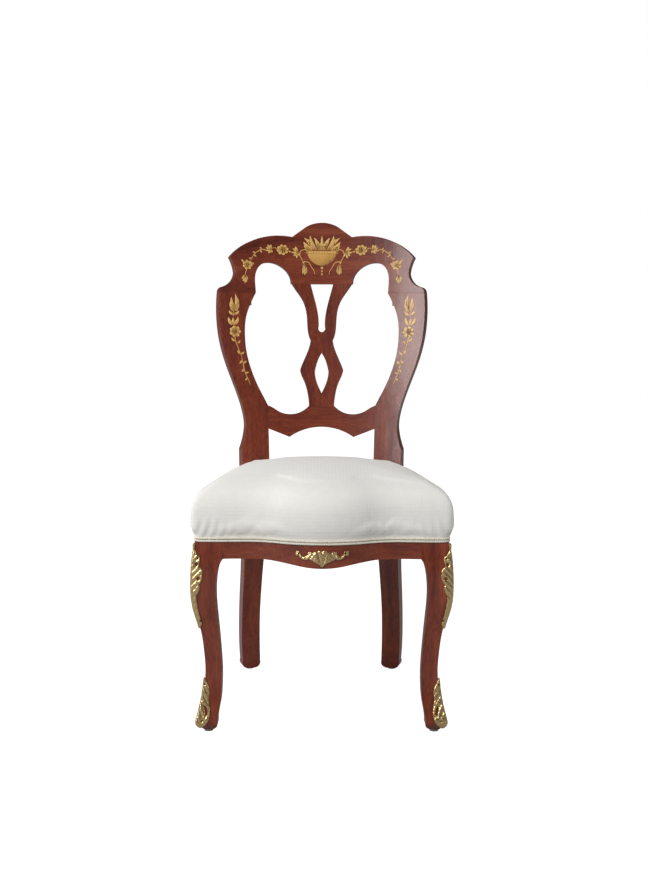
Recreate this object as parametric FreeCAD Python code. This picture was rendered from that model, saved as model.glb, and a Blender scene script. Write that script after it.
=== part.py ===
import FreeCAD, Part

# A side chair: mahogany frame with a lyre splat, overstuffed seat, gilt brass mounts and satinwood inlay.
# Millimetres, +Z up. The origin lies on the floor under the middle of the chair, the front faces -Y, and
# a left piece is one on the -X side, on the left of a viewer who stands in front of the chair.

import math
import os

from FreeCAD import Matrix, Rotation, Vector

# Levels above the floor
glide_thickness = 4.0
rail_bottom = 337.0         # lower edge of the seat rails
show_wood_top = 368.0       # above this the wood is rebated and the cloth covers it
rail_top = 410.0
splat_foot = 598.0          # top of the lower back rail at its middle
crest_joint = 850.0         # where the posts end and the crest rail begins
crest_drop = 20.0           # the splat's head stands this far above that joint
crest_rise = 157.6          # top of the centre arch above that joint

# Seat frame in plan
front_half_width = 240.0    # to the outer side of a front leg
front_face_y = -246.0       # front of the front legs' square heads
head_size = 53.4            # side of a square head
foot_outset = 3.2           # middle of a front foot, outside the middle of its head
bow_depth = 36.0            # the front rail's bow stands this far in front of the heads
bow_radius = 169.5
hollow_radius = 119.6       # between the bow and the heads the rail is hollow
hollow_depth = 3.0          # deepest point of the hollow, behind the heads
side_bow = 6.0              # the side rails swell outwards this much
rear_half_width = 171.0     # to the outer side of the side rails, where they meet the posts
rail_thickness = 22.0
apron_drop = 12.0           # the front rail hangs this much lower at its middle
front_rail_back = 28.0      # flat inner face of the front rail, behind the heads' front
back_rail_setback = 9.0     # front of the back rail, in front of the posts' middle line

# Curved back, sawn from a shell that is hollow in plan and bends at the seat and at the feet
sweep_radius = 620.0        # plan radius of the front face, at the seat
back_face_y = 171.0         # front face on the centre line, at the seat
lean_angle = 9.66
lean_level = 440.0          # the leaning and the upright stretch would meet here
upright_level = 380.0       # the raked leg ends and the bend begins
foot_rake = 60.0
foot_thickness = 30.0
post_thickness = 38.0       # at the seat
back_thickness = 26.0       # from the splat upwards
rail_joint_width = 115.0    # half the length of the lower back rail between its shoulders
rail_joint_rise = 3.5       # its shoulder reaches from this far above the splat's foot
rail_joint_drop = 47.5      # to this far below it
splat_seat_width = 26.8     # half the flat on which the splat stands
foot_inner_width = 129.0
foot_outer_width = 168.0

# Joinery
fit = 0.2                   # clearance all round a tenon, a dowel or a screw
tenon_thickness = 10.0
tenon_length = 22.0
tenon_shoulder = 8.0        # wood left above and below a rail's tenon
tenon_inset = 6.0           # from a rail's rebated face to its tenon
splat_head_tenon = (31.0, 50.0)
splat_foot_tenon = 16.0
back_tenon_depth = 8.0      # a back tenon starts this far behind the front face
dowel_radius = 4.5
dowel_length = 56.0
crest_dowel_widths = (147.0, 166.0)
block_reach = 82.0          # a corner block's leg along the rails
block_height = 45.0
block_drop = 12.0           # the block's top, below the rails' top
screw_radius = 2.0
screw_length = 32.0
screw_head_radius = 4.2
screw_head_height = 2.6
screw_seat = 16.0           # from the rail to the underside of the screw's head
glide_radius = 8.5
glide_nail_radius = 1.6
glide_nail_length = 14.0

# Upholstery
rebate = 4.0
soft_gap = 0.3              # air between soft pieces and what they meet
upholstery_corner = 14.0    # plan radius of the seat's front corners
webbing_width = 50.0
webbing_thickness = 1.6
webbing_gap = 0.3
webbing_end_lap = 14.0
lengthwise_strips = (-96.0, -32.0, 32.0, 96.0)
crosswise_strips = (-150.0, -86.0, -22.0, 42.0, 106.0)
cloth_thickness = 1.0
cloth_margin = 8.0
cover_thickness = 1.5
crown_height = 92.0         # top of the seat above the rails
crown_y = -30.0             # the crown's highest point in plan
cover_lift = 1.0            # the cloth's edge, above the top of the show wood
skirt_lift = 16.0           # the stuffing's edge over the rails, above the top of the show wood
# Swell of the seat: share of the plan's size and share of the height, from the lower edge to the crown
seat_profile = (
    (1.0, 0), (1.0, 0.075), (1.042, 0.27), (1.01, 0.51), (0.88, 0.73), (0.62, 0.88), (0.2, 1.0),
)
gimp_height = 9.5
gimp_thickness = 3.4

# Brass and inlay
mount_thickness = 2.5
mount_half_width = 50.0
mount_overlap = 12.0        # a leg mount's outline is drawn this far past the leg's head
pin_radius = 1.2
pin_proud = 0.6
pin_length = 12.0
pin_fit = 0.1
inlay_thickness = 0.6
inlay_gap = 0.75

# Worked out from the sizes above
axis_y = back_face_y - sweep_radius
lean = math.radians(lean_angle)
crest_top = crest_joint + crest_rise
splat_head = crest_joint + crest_drop
head_inner = front_half_width - head_size
head_back_y = front_face_y + head_size
bow_front_y = front_face_y - bow_depth
arris_setback = -front_face_y - front_half_width
back_rail_y = back_face_y - back_rail_setback
back_rail_rear_y = back_rail_y + rail_thickness
shell_top = crest_top + 20.0
shell_half_angle = 24.0
bow_centre_y = bow_front_y + bow_radius
front_rail_inner_y = front_face_y + front_rail_back
side_end_y = axis_y + math.sqrt(sweep_radius ** 2 - rear_half_width ** 2)
leg_centre = (head_inner + front_half_width) / 2 + foot_outset
webbing_rise = (webbing_thickness + webbing_gap) / 2
webbing_top = rail_top + 2 * webbing_rise + webbing_thickness
stuffing_bottom = webbing_top + 2 * soft_gap + cloth_thickness


def xz(x, z):
    return Vector(x, 0, z)


def path(start, *steps):
    """Joined edges in the X-Z plane: a step of one point is a line, of two an arc, of more a curve."""
    edges = []
    here = xz(*start)
    for step in steps:
        points = [here] + [xz(*point) for point in step]
        if len(points) == 2:
            edges.append(Part.LineSegment(*points).toShape())
        elif len(points) == 3:
            edges.append(Part.Arc(*points).toShape())
        else:
            curve = Part.BSplineCurve()
            curve.interpolate(points)
            edges.append(curve.toShape())
        here = points[-1]
    return edges


def mirrored(shape):
    return shape.mirror(Vector(0, 0, 0), Vector(1, 0, 0))


def closed(edges):
    return Part.Wire(Part.__sortEdges__(edges))


def symmetric(edges):
    """Closed outline from edges that run from the centre line round one side and back to it."""
    return closed(edges + [mirrored(edge) for edge in edges])


def rows(low, high, table):
    """Points from a table of widths and of shares of the height between two levels."""
    return [(width, low + share * (high - low)) for width, share in table]


def arch(crown, end):
    """Arc step from the centre line at height crown, level there, to end."""
    drop = crown - end[1]
    radius = (end[0] ** 2 + drop ** 2) / (2 * drop)
    half_turn = math.asin(end[0] / radius) / 2
    middle = (radius * math.sin(half_turn), crown - radius * (1 - math.cos(half_turn)))
    return [middle, end]


def block(x, y, z):
    """Box from three (low, high) pairs."""
    box = Part.makeBox(x[1] - x[0], y[1] - y[0], z[1] - z[0])
    box.translate(Vector(x[0], y[0], z[0]))
    return box


def rod(radius, start, direction, length):
    return Part.makeCylinder(radius, length, start, direction)


def rounded(solid, radius, chosen):
    """The solid with the edges that chosen picks rounded."""
    return solid.makeFillet(radius, [edge for edge in solid.Edges if chosen(edge)])


# The shell of the back


def profile(radius, rake, bend_level):
    """Edges up one face of the shell in the radius-height plane: raked foot, bend and lean."""
    rake_radius = (rake ** 2 + upright_level ** 2) / (2 * rake)
    rake_turn = math.asin(upright_level / rake_radius) / 2
    rake_middle = (
        radius + rake_radius * (1 - math.cos(rake_turn)),
        upright_level - rake_radius * math.sin(rake_turn),
    )
    reach = bend_level - upright_level
    bend_radius = reach / math.tan(lean / 2)
    bend_middle = (
        radius + bend_radius * (1 - math.cos(lean / 2)),
        upright_level + bend_radius * math.sin(lean / 2),
    )
    bend_end = (radius + reach * math.sin(lean), bend_level + reach * math.cos(lean))
    top = (radius + (shell_top - bend_level) * math.tan(lean), shell_top)
    return path(
        (radius + rake, 0), [rake_middle, (radius, upright_level)], [bend_middle, bend_end], [top]
    )


def front_line(depth):
    return profile(sweep_radius + depth, foot_rake, lean_level)


def back_line():
    rake = foot_rake + foot_thickness - post_thickness
    bend_level = lean_level + (post_thickness - back_thickness) / math.tan(lean)
    return profile(sweep_radius + post_thickness, rake, bend_level)


def front_radius(z):
    """Plan radius of the front face on the leaning stretch."""
    return sweep_radius + (z - lean_level) * math.tan(lean)


def shell(near, far):
    """Solid between two lines of the radius-height plane, turned about the sweep axis."""
    ends = []
    for pick in (0, -1):
        points = [line[pick].Vertexes[pick].Point for line in (near, far)]
        ends.append(Part.LineSegment(*points).toShape())
    section = Part.Face(closed(near + far + ends))
    section.rotate(Vector(0, 0, 0), Vector(0, 0, 1), 90 - shell_half_angle)
    section.translate(Vector(0, axis_y, 0))
    return section.revolve(Vector(0, axis_y, 0), Vector(0, 0, 1), 2 * shell_half_angle)


def layer(near_depth, far_depth):
    """Part of the shell between two depths behind the front face."""
    return shell(front_line(near_depth), front_line(far_depth))


def radial_prism(outline):
    """Solid through an outline of widths and heights, spreading from the sweep axis."""
    ends = []
    for radius in (sweep_radius - 60.0, sweep_radius + 220.0):
        spread = Matrix()
        spread.A11 = radius / sweep_radius
        spread.A24 = axis_y + radius
        ends.append(outline.transformGeometry(spread))
    return Part.makeLoft(ends, True, True)


def panel(x, z):
    """Radial prism over a rectangle."""
    return radial_prism(closed(path((x[0], z[0]), [(x[1], z[0])], [(x[1], z[1])], [(x[0], z[1])], [(x[0], z[0])])))


def back_tenon(x, z, growth):
    """Tenon of the curved back over a rectangle, or its mortise when growth is the fit."""
    body = layer(back_tenon_depth - growth, back_tenon_depth + tenon_thickness + growth)
    return body.common(panel((x[0] - growth, x[1] + growth), (z[0] - growth, z[1] + growth)))


def radial_point(width, radius, z):
    """Point of space on the ray through an outline's width, at a plan radius."""
    turn = math.atan2(width, sweep_radius)
    return Vector(radius * math.sin(turn), axis_y + radius * math.cos(turn), z)


back_shell = shell(front_line(0), back_line())


def sawn(outline):
    return back_shell.common(radial_prism(outline))


# Outlines of the back, as widths at the sweep radius and heights


def post_outline():
    """Rear leg and back post in one piece."""
    outer_post = rows(rail_top, crest_joint, [
        (217.2, 0.939), (218.1, 0.87), (214.4, 0.759), (205.6, 0.668), (188.2, 0.548),
        (175.2, 0.458), (168.6, 0.397), (165.7, 0.337), (169.5, 0.277), (178.0, 0.217),
    ])
    outer_leg = rows(glide_thickness, rail_top, [
        (176.3, 0.82), (174.2, 0.623), (175.3, 0.43), (174.6, 0.27), (171.6, 0.13), (foot_outer_width, 0.045),
    ])
    inner_leg = rows(glide_thickness, rail_top, [
        (132.8, 0.207), (133.9, 0.35), (132.1, 0.488), (128.7, 0.623), (119.5, 0.85), (rail_joint_width, 1.0),
    ])
    inner_post = rows(splat_foot, crest_joint, [
        (120.5, 0.058889), (133.6, 0.161905), (149.2, 0.319048), (158.8, 0.47619), (161.3, 0.631587),
        (157.2, 0.786984), (148.0, 0.891746), (134.7, 1.0),
    ])
    foot_middle = (foot_inner_width + foot_outer_width) / 2
    toe = glide_thickness + 4.0
    return closed(path(
        (214.4, crest_joint),
        outer_post,
        [(178.0, rail_top)],
        outer_leg,
        [(foot_outer_width - 3.0, toe), (foot_middle + glide_radius, glide_thickness)],
        [(foot_middle - glide_radius, glide_thickness)],
        [(foot_inner_width + 3.0, toe), (foot_inner_width, glide_thickness + 17.0)],
        inner_leg,
        [(rail_joint_width, splat_foot + rail_joint_rise)],
        inner_post,
        [(214.4, crest_joint)],
    ))


def crest_outline():
    def above(x, rise):
        return (x, crest_joint + rise)

    return symmetric(path(
        (0, crest_top),
        arch(crest_top, above(33.0, 146.5)),
        [above(58.5, 125.3)],
        [above(125.0, 121.5), above(187.0, 78.0)],
        [above(180.3, 60.0), above(177.6, 44.0)],
        [above(185.5, 24.5), above(203.0, 13.0)],
        [above(211.5, 8.0), above(214.4, 0)],
        [above(134.7, 0)],
        [above(135.6, 22.0), above(133.0, 46.0), above(121.0, 63.2), above(103.0, 67.3),
         above(84.0, 60.5), above(66.5, 42.0), (61.3, splat_head)],
        [(0, splat_head)],
    ))


def splat_outline():
    def between(table):
        return rows(splat_foot, splat_head, table)

    opening = between([(6.2, 0.651), (8.8, 0.778), (14.4, 0.875), (22.5, 1.0)])
    upper = between([(46.8, 0.923), (38.6, 0.87), (31.0, 0.778), (28.8, 0.68), (26.4, 0.585), (22.2, 0.537)])
    lower = between([(24.6, 0.489), (34.0, 0.392), (43.8, 0.294)])
    foot = between([(40.6, 0.246), (35.4, 0.199), (28.6, 0.103), (26.1, 0)])
    bottom = between([(0, 0.606)])[0]
    return symmetric(path(
        bottom,
        [(4.4, bottom[1] + 2.4), (6.2, opening[0][1])],
        opening[1:],
        [(59.0, splat_head)],
        upper,
        lower,
        foot,
        [(0, splat_foot)],
    ))


def splat_eye():
    """The pointed opening in the lower half of the splat."""
    def between(table):
        return rows(splat_foot, splat_head, table)

    return symmetric(path(
        (0, between([(0, 0.4346)])[0][1]),
        between([(6.2, 0.392), (10.6, 0.344), (14.0, 0.29)]),
        between([(13.2, 0.246), (10.2, 0.199), (0, 0.106)]),
    ))


def lower_rail_outline():
    def below(x, drop):
        return (x, splat_foot - drop)

    def hollow(share, drop):
        return below(splat_seat_width + share * (rail_joint_width - splat_seat_width), drop)

    return symmetric(path(
        below(0, 0),
        [below(splat_seat_width, 0)],
        [hollow(0.129252, 9.8), hollow(0.277778, 15.8), hollow(0.42517, 17.5), hollow(0.572562, 15.9),
         hollow(0.718821, 10.5), hollow(0.866213, 2.0), hollow(1.0, -rail_joint_rise)],
        [below(rail_joint_width, rail_joint_drop)],
        [below(69.0, 66.0)],
        [below(36.0, 49.6), below(0, 44.0)],
    ))


# Front legs


def shifted(base, points):
    return [(base + x, z) for x, z in points]


def leg_outline(growth=0.0):
    """Pattern of a front leg, drawn on its front and on its side alike, and grown for the brass on it."""
    outer = shifted(front_half_width + growth, rows(0, rail_bottom, [
        (0, 1.05), (2.8, 0.982), (4.5, 0.89), (3.7, 0.777), (0, 0.709), (-6.5, 0.635), (-12.0, 0.558),
        (-16.0, 0.454), (-18.0, 0.356), (-16.6, 0.282), (-12.0, 0.184), (-7.0, 0.119), (-3.5, 0.08),
    ]))
    toe = shifted(front_half_width + growth, [(-3.2, 18.0), (-11.0, 8.0)])
    heel = shifted(head_inner, [(14.9, 8.5), (11.9, 20.0)])
    inner = shifted(head_inner, rows(0, rail_bottom, [
        (10.4, 0.104), (6.7, 0.163), (4.2, 0.255), (3.8, 0.323), (5.0, 0.415), (7.4, 0.519),
        (11.4, 0.659), (14.0, 0.757), (14.0, 0.846), (11.9, 0.905), (8.1, 0.955), (0, 1.0),
    ]))
    return closed(path(
        (front_half_width + growth, rail_top),
        [outer[0]],
        outer[1:],
        toe,
        [(leg_centre + glide_radius, glide_thickness)],
        [(leg_centre - glide_radius, glide_thickness)],
        heel,
        inner,
        [(head_inner, rail_top)],
        [(front_half_width + growth, rail_top)],
    ))


def two_face(face):
    """Solid sawn to one pattern from the front and from the side, as a cabriole leg is."""
    plank_depth = 500.0
    plank = face.copy()
    plank.translate(Vector(0, -plank_depth, 0))
    plank = plank.extrude(Vector(0, plank_depth, 0))
    middle = -arris_setback / 2
    return plank.common(plank.mirror(Vector(middle, middle, 0), Vector(1, 1, 0)))


def sawn_leg(growth=0.0):
    return two_face(Part.Face(leg_outline(growth)))


# Plan of the seat frame


def plan_arc(centre, radius, low_angle, high_angle):
    """Arc in plan; angles are from the -Y direction towards +X, in radians."""
    points = []
    for angle in (low_angle, (low_angle + high_angle) / 2, high_angle):
        points.append(centre + Vector(radius * math.sin(angle), -radius * math.cos(angle), 0))
    return Part.Arc(*points).toShape()


def plan_line(start, end):
    return Part.LineSegment(Vector(start[0], start[1], 0), Vector(end[0], end[1], 0)).toShape()


def seat_plan():
    """Outline of the seat frame: serpentine front, square heads, swelling sides and a straight back."""
    hollow_y = front_face_y + hollow_depth
    hollow_drop = bow_centre_y - (hollow_y - hollow_radius)
    turn = math.acos(hollow_drop / (bow_radius + hollow_radius))
    hollow_x = (bow_radius + hollow_radius) * math.sin(turn)
    last = head_inner - hollow_x
    last_radius = (last ** 2 + hollow_depth ** 2) / (2 * hollow_depth)
    bow = plan_arc(Vector(0, bow_centre_y, 0), bow_radius, 0, turn)
    hollow = plan_arc(Vector(hollow_x, hollow_y - hollow_radius, 0), -hollow_radius, turn, 0)
    return_arc = plan_arc(Vector(hollow_x, hollow_y - last_radius, 0), -last_radius, 0, -math.asin(last / last_radius))
    corner = (front_half_width, front_face_y)
    head_end = (front_half_width, head_back_y)
    rail_end = (rear_half_width, side_end_y)
    chord = Vector(rail_end[0] - head_end[0], rail_end[1] - head_end[1], 0)
    swell = Vector(-chord.y, chord.x, 0).normalize() * -side_bow
    middle = Vector(*head_end, 0) + chord / 2 + swell
    side = Part.Arc(Vector(*head_end, 0), middle, Vector(*rail_end, 0)).toShape()
    rear = (side_line(back_rail_rear_y, 0), back_rail_rear_y)
    half = [
        bow, hollow, return_arc, plan_line((head_inner, front_face_y), corner), plan_line(corner, head_end),
        side, plan_line(rail_end, rear), plan_line(rear, (0, back_rail_rear_y)),
    ]
    return symmetric(half)


def side_line(y, inset):
    """X of the straight line behind the swell of a side rail, set in by inset."""
    share = (y - head_back_y) / (side_end_y - head_back_y)
    return front_half_width + share * (rear_half_width - front_half_width) - inset


def plan_prism(inset, low, high, soft_corners=False):
    """Upright solid over the seat's plan, set in by inset, with round front corners under the cloth."""
    outline = seat_plan()
    if inset:
        outline = outline.makeOffset2D(-inset, 2, False, False, True)
    prism = Part.Face(outline).extrude(Vector(0, 0, high - low))
    prism.translate(Vector(0, 0, low))
    if not soft_corners:
        return prism

    def front_corner(edge):
        box = edge.BoundBox
        upright = box.ZLength > (high - low) / 2 and box.XLength < 0.01
        beside = abs(abs(box.XMin) - front_half_width + inset) < 0.1
        return upright and beside and box.YMin < front_face_y + inset + 0.1

    return rounded(prism, upholstery_corner - inset, front_corner)


def seat_rails():
    """Front, side and back rails without their tenons."""
    whole = plan_prism(0, rail_bottom - apron_drop, rail_top)
    apron = symmetric(path(
        (0, rail_bottom - apron_drop),
        arch(rail_bottom - apron_drop, (45.0, rail_bottom - 0.65 * apron_drop)),
        [(78.0, rail_bottom - 0.22 * apron_drop), (110.0, rail_bottom)],
        [(head_inner, rail_bottom)],
        [(head_inner, rail_top)],
        [(0, rail_top)],
    ))
    depth = bow_depth + front_rail_back
    apron_board = Part.Face(apron)
    apron_board.translate(Vector(0, front_face_y + front_rail_back - depth - rebate, 0))
    front = apron_board.extrude(Vector(0, depth + rebate, 0)).common(whole)

    rear_y = side_end_y + back_thickness / 2
    corners = [
        (side_line(head_back_y, rail_thickness), head_back_y), (side_line(rear_y, rail_thickness), rear_y),
        (2 * front_half_width, rear_y), (2 * front_half_width, head_back_y),
    ]
    side = board(corners, rail_bottom, rail_top).common(whole).cut(back_shell)

    reach = rail_joint_width + rail_thickness / 2
    back = block((-reach, reach), (back_rail_y, back_rail_rear_y), (rail_bottom, rail_top))
    return front, side, back


def board(corners, low, high):
    """Upright solid over a polygon in plan."""
    points = [Vector(x, y, low) for x, y in corners]
    return Part.Face(Part.makePolygon(points + [points[0]])).extrude(Vector(0, 0, high - low))


def rail_tenons(growth):
    """Tenons of the seat rails on the +X side, or their mortises when growth is the fit."""
    z = (rail_bottom + tenon_shoulder - growth, rail_top - tenon_shoulder + growth)
    front_y = front_face_y + rebate + tenon_inset
    side_x = front_half_width - rebate - tenon_inset
    rear_x = rear_half_width - rebate - tenon_inset
    back_y = back_rail_y + tenon_inset
    length = tenon_length + growth
    front = block(
        (head_inner - 1.0, head_inner + length), (front_y - growth, front_y + tenon_thickness + growth), z
    )
    side_front = block(
        (side_x - tenon_thickness - growth, side_x + growth), (head_back_y - length, head_back_y + 1.0), z
    )
    side_rear = block(
        (rear_x - tenon_thickness - growth, rear_x + growth),
        (side_end_y - 3.0, side_end_y + length), z
    )
    back = block(
        (rail_joint_width - 5.0, rail_joint_width + length), (back_y - growth, back_y + tenon_thickness + growth), z
    )
    return front, side_front, side_rear, back


def corner_blocks():
    """The front and the rear block on the +X side, before the legs are cut out of them."""
    top = rail_top - block_drop
    blocks = []
    for y, step in ((front_rail_inner_y, 1), (back_rail_y, -1)):
        corner = (side_line(y, rail_thickness), y)
        along_side = (side_line(y + step * block_reach, rail_thickness), y + step * block_reach)
        blocks.append(board([corner, (corner[0] - block_reach, y), along_side], top - block_height, top))
    return blocks


def turned_piece(profile_points, start, direction):
    """Solid of revolution from (radius, height) points, set on start and pointing along direction."""
    ring = [xz(radius, height) for radius, height in profile_points]
    solid = Part.Face(Part.makePolygon(ring + [ring[0]])).revolve(Vector(0, 0, 0), Vector(0, 0, 1), 360)
    solid.Placement = FreeCAD.Placement(start, Rotation(Vector(0, 0, 1), direction))
    return solid


def screw(start, direction):
    """Countersunk screw, from the outer face of its head."""
    return turned_piece(
        [(0, 0), (screw_head_radius, 0), (screw_radius, screw_head_height), (screw_radius, screw_length), (0, screw_length)],
        start, direction,
    )


def screw_hole(start, direction):
    """Clearance for a screw, with room for the driver."""
    deep = screw_length + fit
    mouth = screw_head_radius + fit
    neck = screw_radius + fit
    return turned_piece(
        [(0, -block_reach), (mouth, -block_reach), (mouth, fit), (neck, screw_head_height + fit), (neck, deep), (0, deep)],
        start, direction,
    )


def block_screws(make):
    """Two for each block on the +X side: one into the front or back rail, one into the side rail."""
    level = rail_top - block_drop - block_height / 2
    made = []
    for y, step in ((front_rail_inner_y, 1), (back_rail_y, -1)):
        x = side_line(y, rail_thickness) - 0.72 * block_reach
        made.append(make(Vector(x, y + step * screw_seat, level), Vector(0, -step, 0)))
        side_y = y + step * 0.72 * block_reach
        x = side_line(side_y, rail_thickness) - screw_seat
        made.append(make(Vector(x, side_y, level), Vector(1, 0, 0)))
    return made


def crest_dowels(growth=0.0):
    """Two dowels across the joint of the +X post and the crest rail."""
    middle_radius = front_radius(crest_joint) + back_thickness / 2
    dowels = []
    for width in crest_dowel_widths:
        turn = math.atan2(width, sweep_radius)
        axis = Vector(math.sin(turn) * math.sin(lean), math.cos(turn) * math.sin(lean), math.cos(lean))
        middle = radial_point(width, middle_radius, crest_joint)
        length = dowel_length + 2 * growth
        dowels.append(rod(dowel_radius + growth, middle - axis * length / 2, axis, length))
    return dowels


def glides(growth=0.0):
    """Front and rear glide on the +X side, each a disc with its nail."""
    rear_width = (foot_inner_width + foot_outer_width) / 2
    rear_radius = sweep_radius + foot_rake + foot_thickness / 2
    top = glide_thickness + glide_nail_length + growth
    neck = glide_nail_radius + growth
    turned = [(0, 0), (glide_radius, 0), (glide_radius, glide_thickness), (neck, glide_thickness), (neck, top), (0, top)]
    up = Vector(0, 0, 1)
    front = turned_piece(turned, Vector(leg_centre, -leg_centre - arris_setback, 0), up)
    return front, turned_piece(turned, radial_point(rear_width, rear_radius, 0), up)


# Upholstery


def webbing(positions, crossings, phase, ends):
    """Strips along X at the given Y positions, woven over and under crossing strips; ends gives their reach."""
    low = rail_top + webbing_thickness / 2
    middle = low + webbing_rise
    strips = []
    for i, position in enumerate(positions):
        start, end = ends(position)
        line = [(start, low)]
        for j, crossing in enumerate(crossings):
            level = middle + (webbing_rise if (i + j + phase) % 2 else -webbing_rise)
            line += [(crossing - webbing_width / 2, level), (crossing + webbing_width / 2, level)]
        line.append((end, low))
        half = webbing_thickness / 2
        ring = [xz(x, z + half) for x, z in line] + [xz(x, z - half) for x, z in reversed(line)]
        strip = Part.Face(Part.makePolygon(ring + [ring[0]])).extrude(Vector(0, webbing_width, 0))
        strip.translate(Vector(0, position - webbing_width / 2, 0))
        strips.append(strip)
    return strips


def crosswise_webbing():
    def ends(y):
        reach = side_line(y, rail_thickness) + webbing_end_lap
        return -reach, reach
    return webbing(crosswise_strips, lengthwise_strips, 0, ends)


def lengthwise_webbing():
    def ends(x):
        return front_rail_inner_y - webbing_end_lap, back_rail_y + webbing_end_lap
    strips = webbing(lengthwise_strips, crosswise_strips, 1, ends)
    for strip in strips:
        strip.rotate(Vector(0, 0, 0), Vector(0, 0, 1), 90)
    return [mirrored(strip) for strip in strips]


def seat_form(inset):
    """Overstuffed seat, drawn in at its lower edge and swelling to its crown, set in all round by inset."""
    low = show_wood_top + cover_lift
    top = rail_top + crown_height
    base = plan_prism(rebate - soft_gap - cover_thickness + inset, low, low + 1.0, True)
    ring = min(base.Faces, key=lambda face: face.CenterOfMass.z).OuterWire
    centre = Vector(0, crown_y, low)
    sections = []
    for scale, share in seat_profile:
        section = ring.scaled(scale, centre)
        section.translate(Vector(0, 0, share * (top - inset - low)))
        sections.append(section)
    return Part.makeLoft(sections, True, True)


def open_below(outer, inner):
    """Solid between two forms whose lower faces share one level, open to below."""
    skin = []
    rings = []
    for form in (outer, inner):
        lowest = min(form.Faces, key=lambda face: face.CenterOfMass.z)
        rings.append(lowest.OuterWire)
        skin += [face for face in form.Faces if not face.isSame(lowest)]
    rim = Part.Face(rings[0]).cut(Part.Face(rings[1]))
    return Part.Solid(Part.Shell(skin + rim.Faces))


def both_posts_room():
    """Room for the two back posts in the soft pieces."""
    body = layer(-soft_gap, post_thickness + back_thickness)
    side = body.common(panel(
        (rail_joint_width - soft_gap, 2 * rail_joint_width), (rail_bottom - rail_thickness, splat_foot)
    ))
    return side.fuse(mirrored(side))


# Brass mounts


def knee_region():
    """Leaf-edged outline of the knee mount with its two pierced holes, over the leg's pattern."""
    top = show_wood_top - soft_gap
    edge = shifted(front_half_width, [
        (-3.0, top), (-4.5, top - 21.0), (-10.5, top - 26.0), (-10.0, top - 37.0), (-7.5, top - 44.0),
        (-14.5, top - 50.5), (-15.5, top - 61.0), (-14.0, top - 71.0), (-8.5, top - 79.0),
        (-9.5, top - 89.0), (-3.5, top - 99.0), (-5.0, top - 115.0), (-13.5, top - 156.0), (-9.5, top - 165.0),
    ])
    outside = front_half_width + mount_overlap
    outline = closed(path(
        (outside, top), [edge[0]], edge[1:3], edge[3:5], edge[5:9], edge[9:11], edge[11:13], [edge[13]],
        [(outside, edge[13][1])], [(outside, top)],
    ))
    region = Part.Face(outline)
    for x, z in shifted(front_half_width, [(-4.0, top - 40.0), (-7.0, top - 67.0)]):
        region = region.cut(Part.Face(Part.Wire(Part.makeCircle(3.0, xz(x, z), Vector(0, -1, 0)))))
    return region


def foot_region():
    """Outline of the foot mount with its drop-shaped hole."""
    edge = shifted(front_half_width, [
        (-16.0, 107.0), (-20.5, 95.4), (-25.0, 85.0), (-26.0, 72.0), (-24.0, 63.0), (-27.0, 50.0),
        (-27.5, 38.0), (-25.0, 26.0), (-19.0, 16.0), (-10.0, 9.0),
    ])
    outside = front_half_width + mount_overlap
    outline = closed(path(
        (outside, edge[0][1]), [edge[0]], edge[1:3], edge[3:5], edge[5:8], edge[8:10],
        [(outside, edge[9][1])], [(outside, edge[0][1])],
    ))
    drop = shifted(front_half_width, [(-15.5, 54.0), (-18.0, 41.0), (-19.0, 31.0), (-22.0, 37.0)])
    hole = closed(path(drop[0], [drop[1], drop[2]], [drop[3], drop[0]]))
    return Part.Face(outline).cut(Part.Face(hole))


def rail_mount():
    """Shell and two scrolled arms, bent round the bow of the front rail."""
    top = show_wood_top - 9.0
    outline = symmetric(path(
        (0, top - 3.0),
        [(5.0, top + 1.0), (9.5, top - 1.5)],
        [(14.5, top - 2.5), (18.0, top - 4.5)],
        [(23.0, top - 1.5), (27.5, top - 7.5)],
        [(36.0, top - 10.5), (41.0, top - 4.0)],
        [(46.0, top - 0.5), (mount_half_width, top - 5.0)],
        [(47.5, top - 10.5), (43.5, top - 8.0)],
        [(37.0, top - 16.5), (26.0, top - 16.0)],
        [(19.0, top - 19.0), (14.0, top - 22.0)],
        [(7.5, top - 25.0), (0, top - 31.0)],
    ))
    plate = Part.Face(outline)
    plate.translate(Vector(0, bow_front_y - 2 * mount_thickness, 0))
    plate = plate.extrude(Vector(0, bow_depth, 0))
    centre = Vector(0, bow_centre_y, top - 2 * mount_half_width)
    tube = rod(bow_radius + mount_thickness, centre, Vector(0, 0, 1), 3 * mount_half_width)
    return plate.common(tube.cut(rod(bow_radius, centre, Vector(0, 0, 1), 3 * mount_half_width)))


def front_of(shape, x, z):
    """Y where a line from the front first meets the shape."""
    ray = Part.makeLine(Vector(x, -2 * front_half_width, z), Vector(x, 0, z))
    return ray.common(shape).BoundBox.YMin


def pin(mount, x, z, growth=0.0):
    """Brass pin driven through a mount from the front, or its hole when growth is the fit."""
    start = Vector(x, front_of(mount, x, z) - pin_proud, z)
    return rod(pin_radius + growth, start, Vector(0, 1, 0), pin_length + growth)


# Inlay, as outlines of widths and heights on the front face


def turned(root, length, angle, aside=0.0):
    """Point at a distance from root; the angle is from upright towards +X, in degrees."""
    turn = math.radians(angle)
    return (
        root[0] + length * math.sin(turn) + aside * math.cos(turn),
        root[1] + length * math.cos(turn) - aside * math.sin(turn),
    )


def leaf(root, length, width, angle):
    tip = turned(root, length, angle)
    right = turned(root, length / 2, angle, width / 2)
    left = turned(root, length / 2, angle, -width / 2)
    return closed(path(root, [right, tip], [left, root]))


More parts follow.
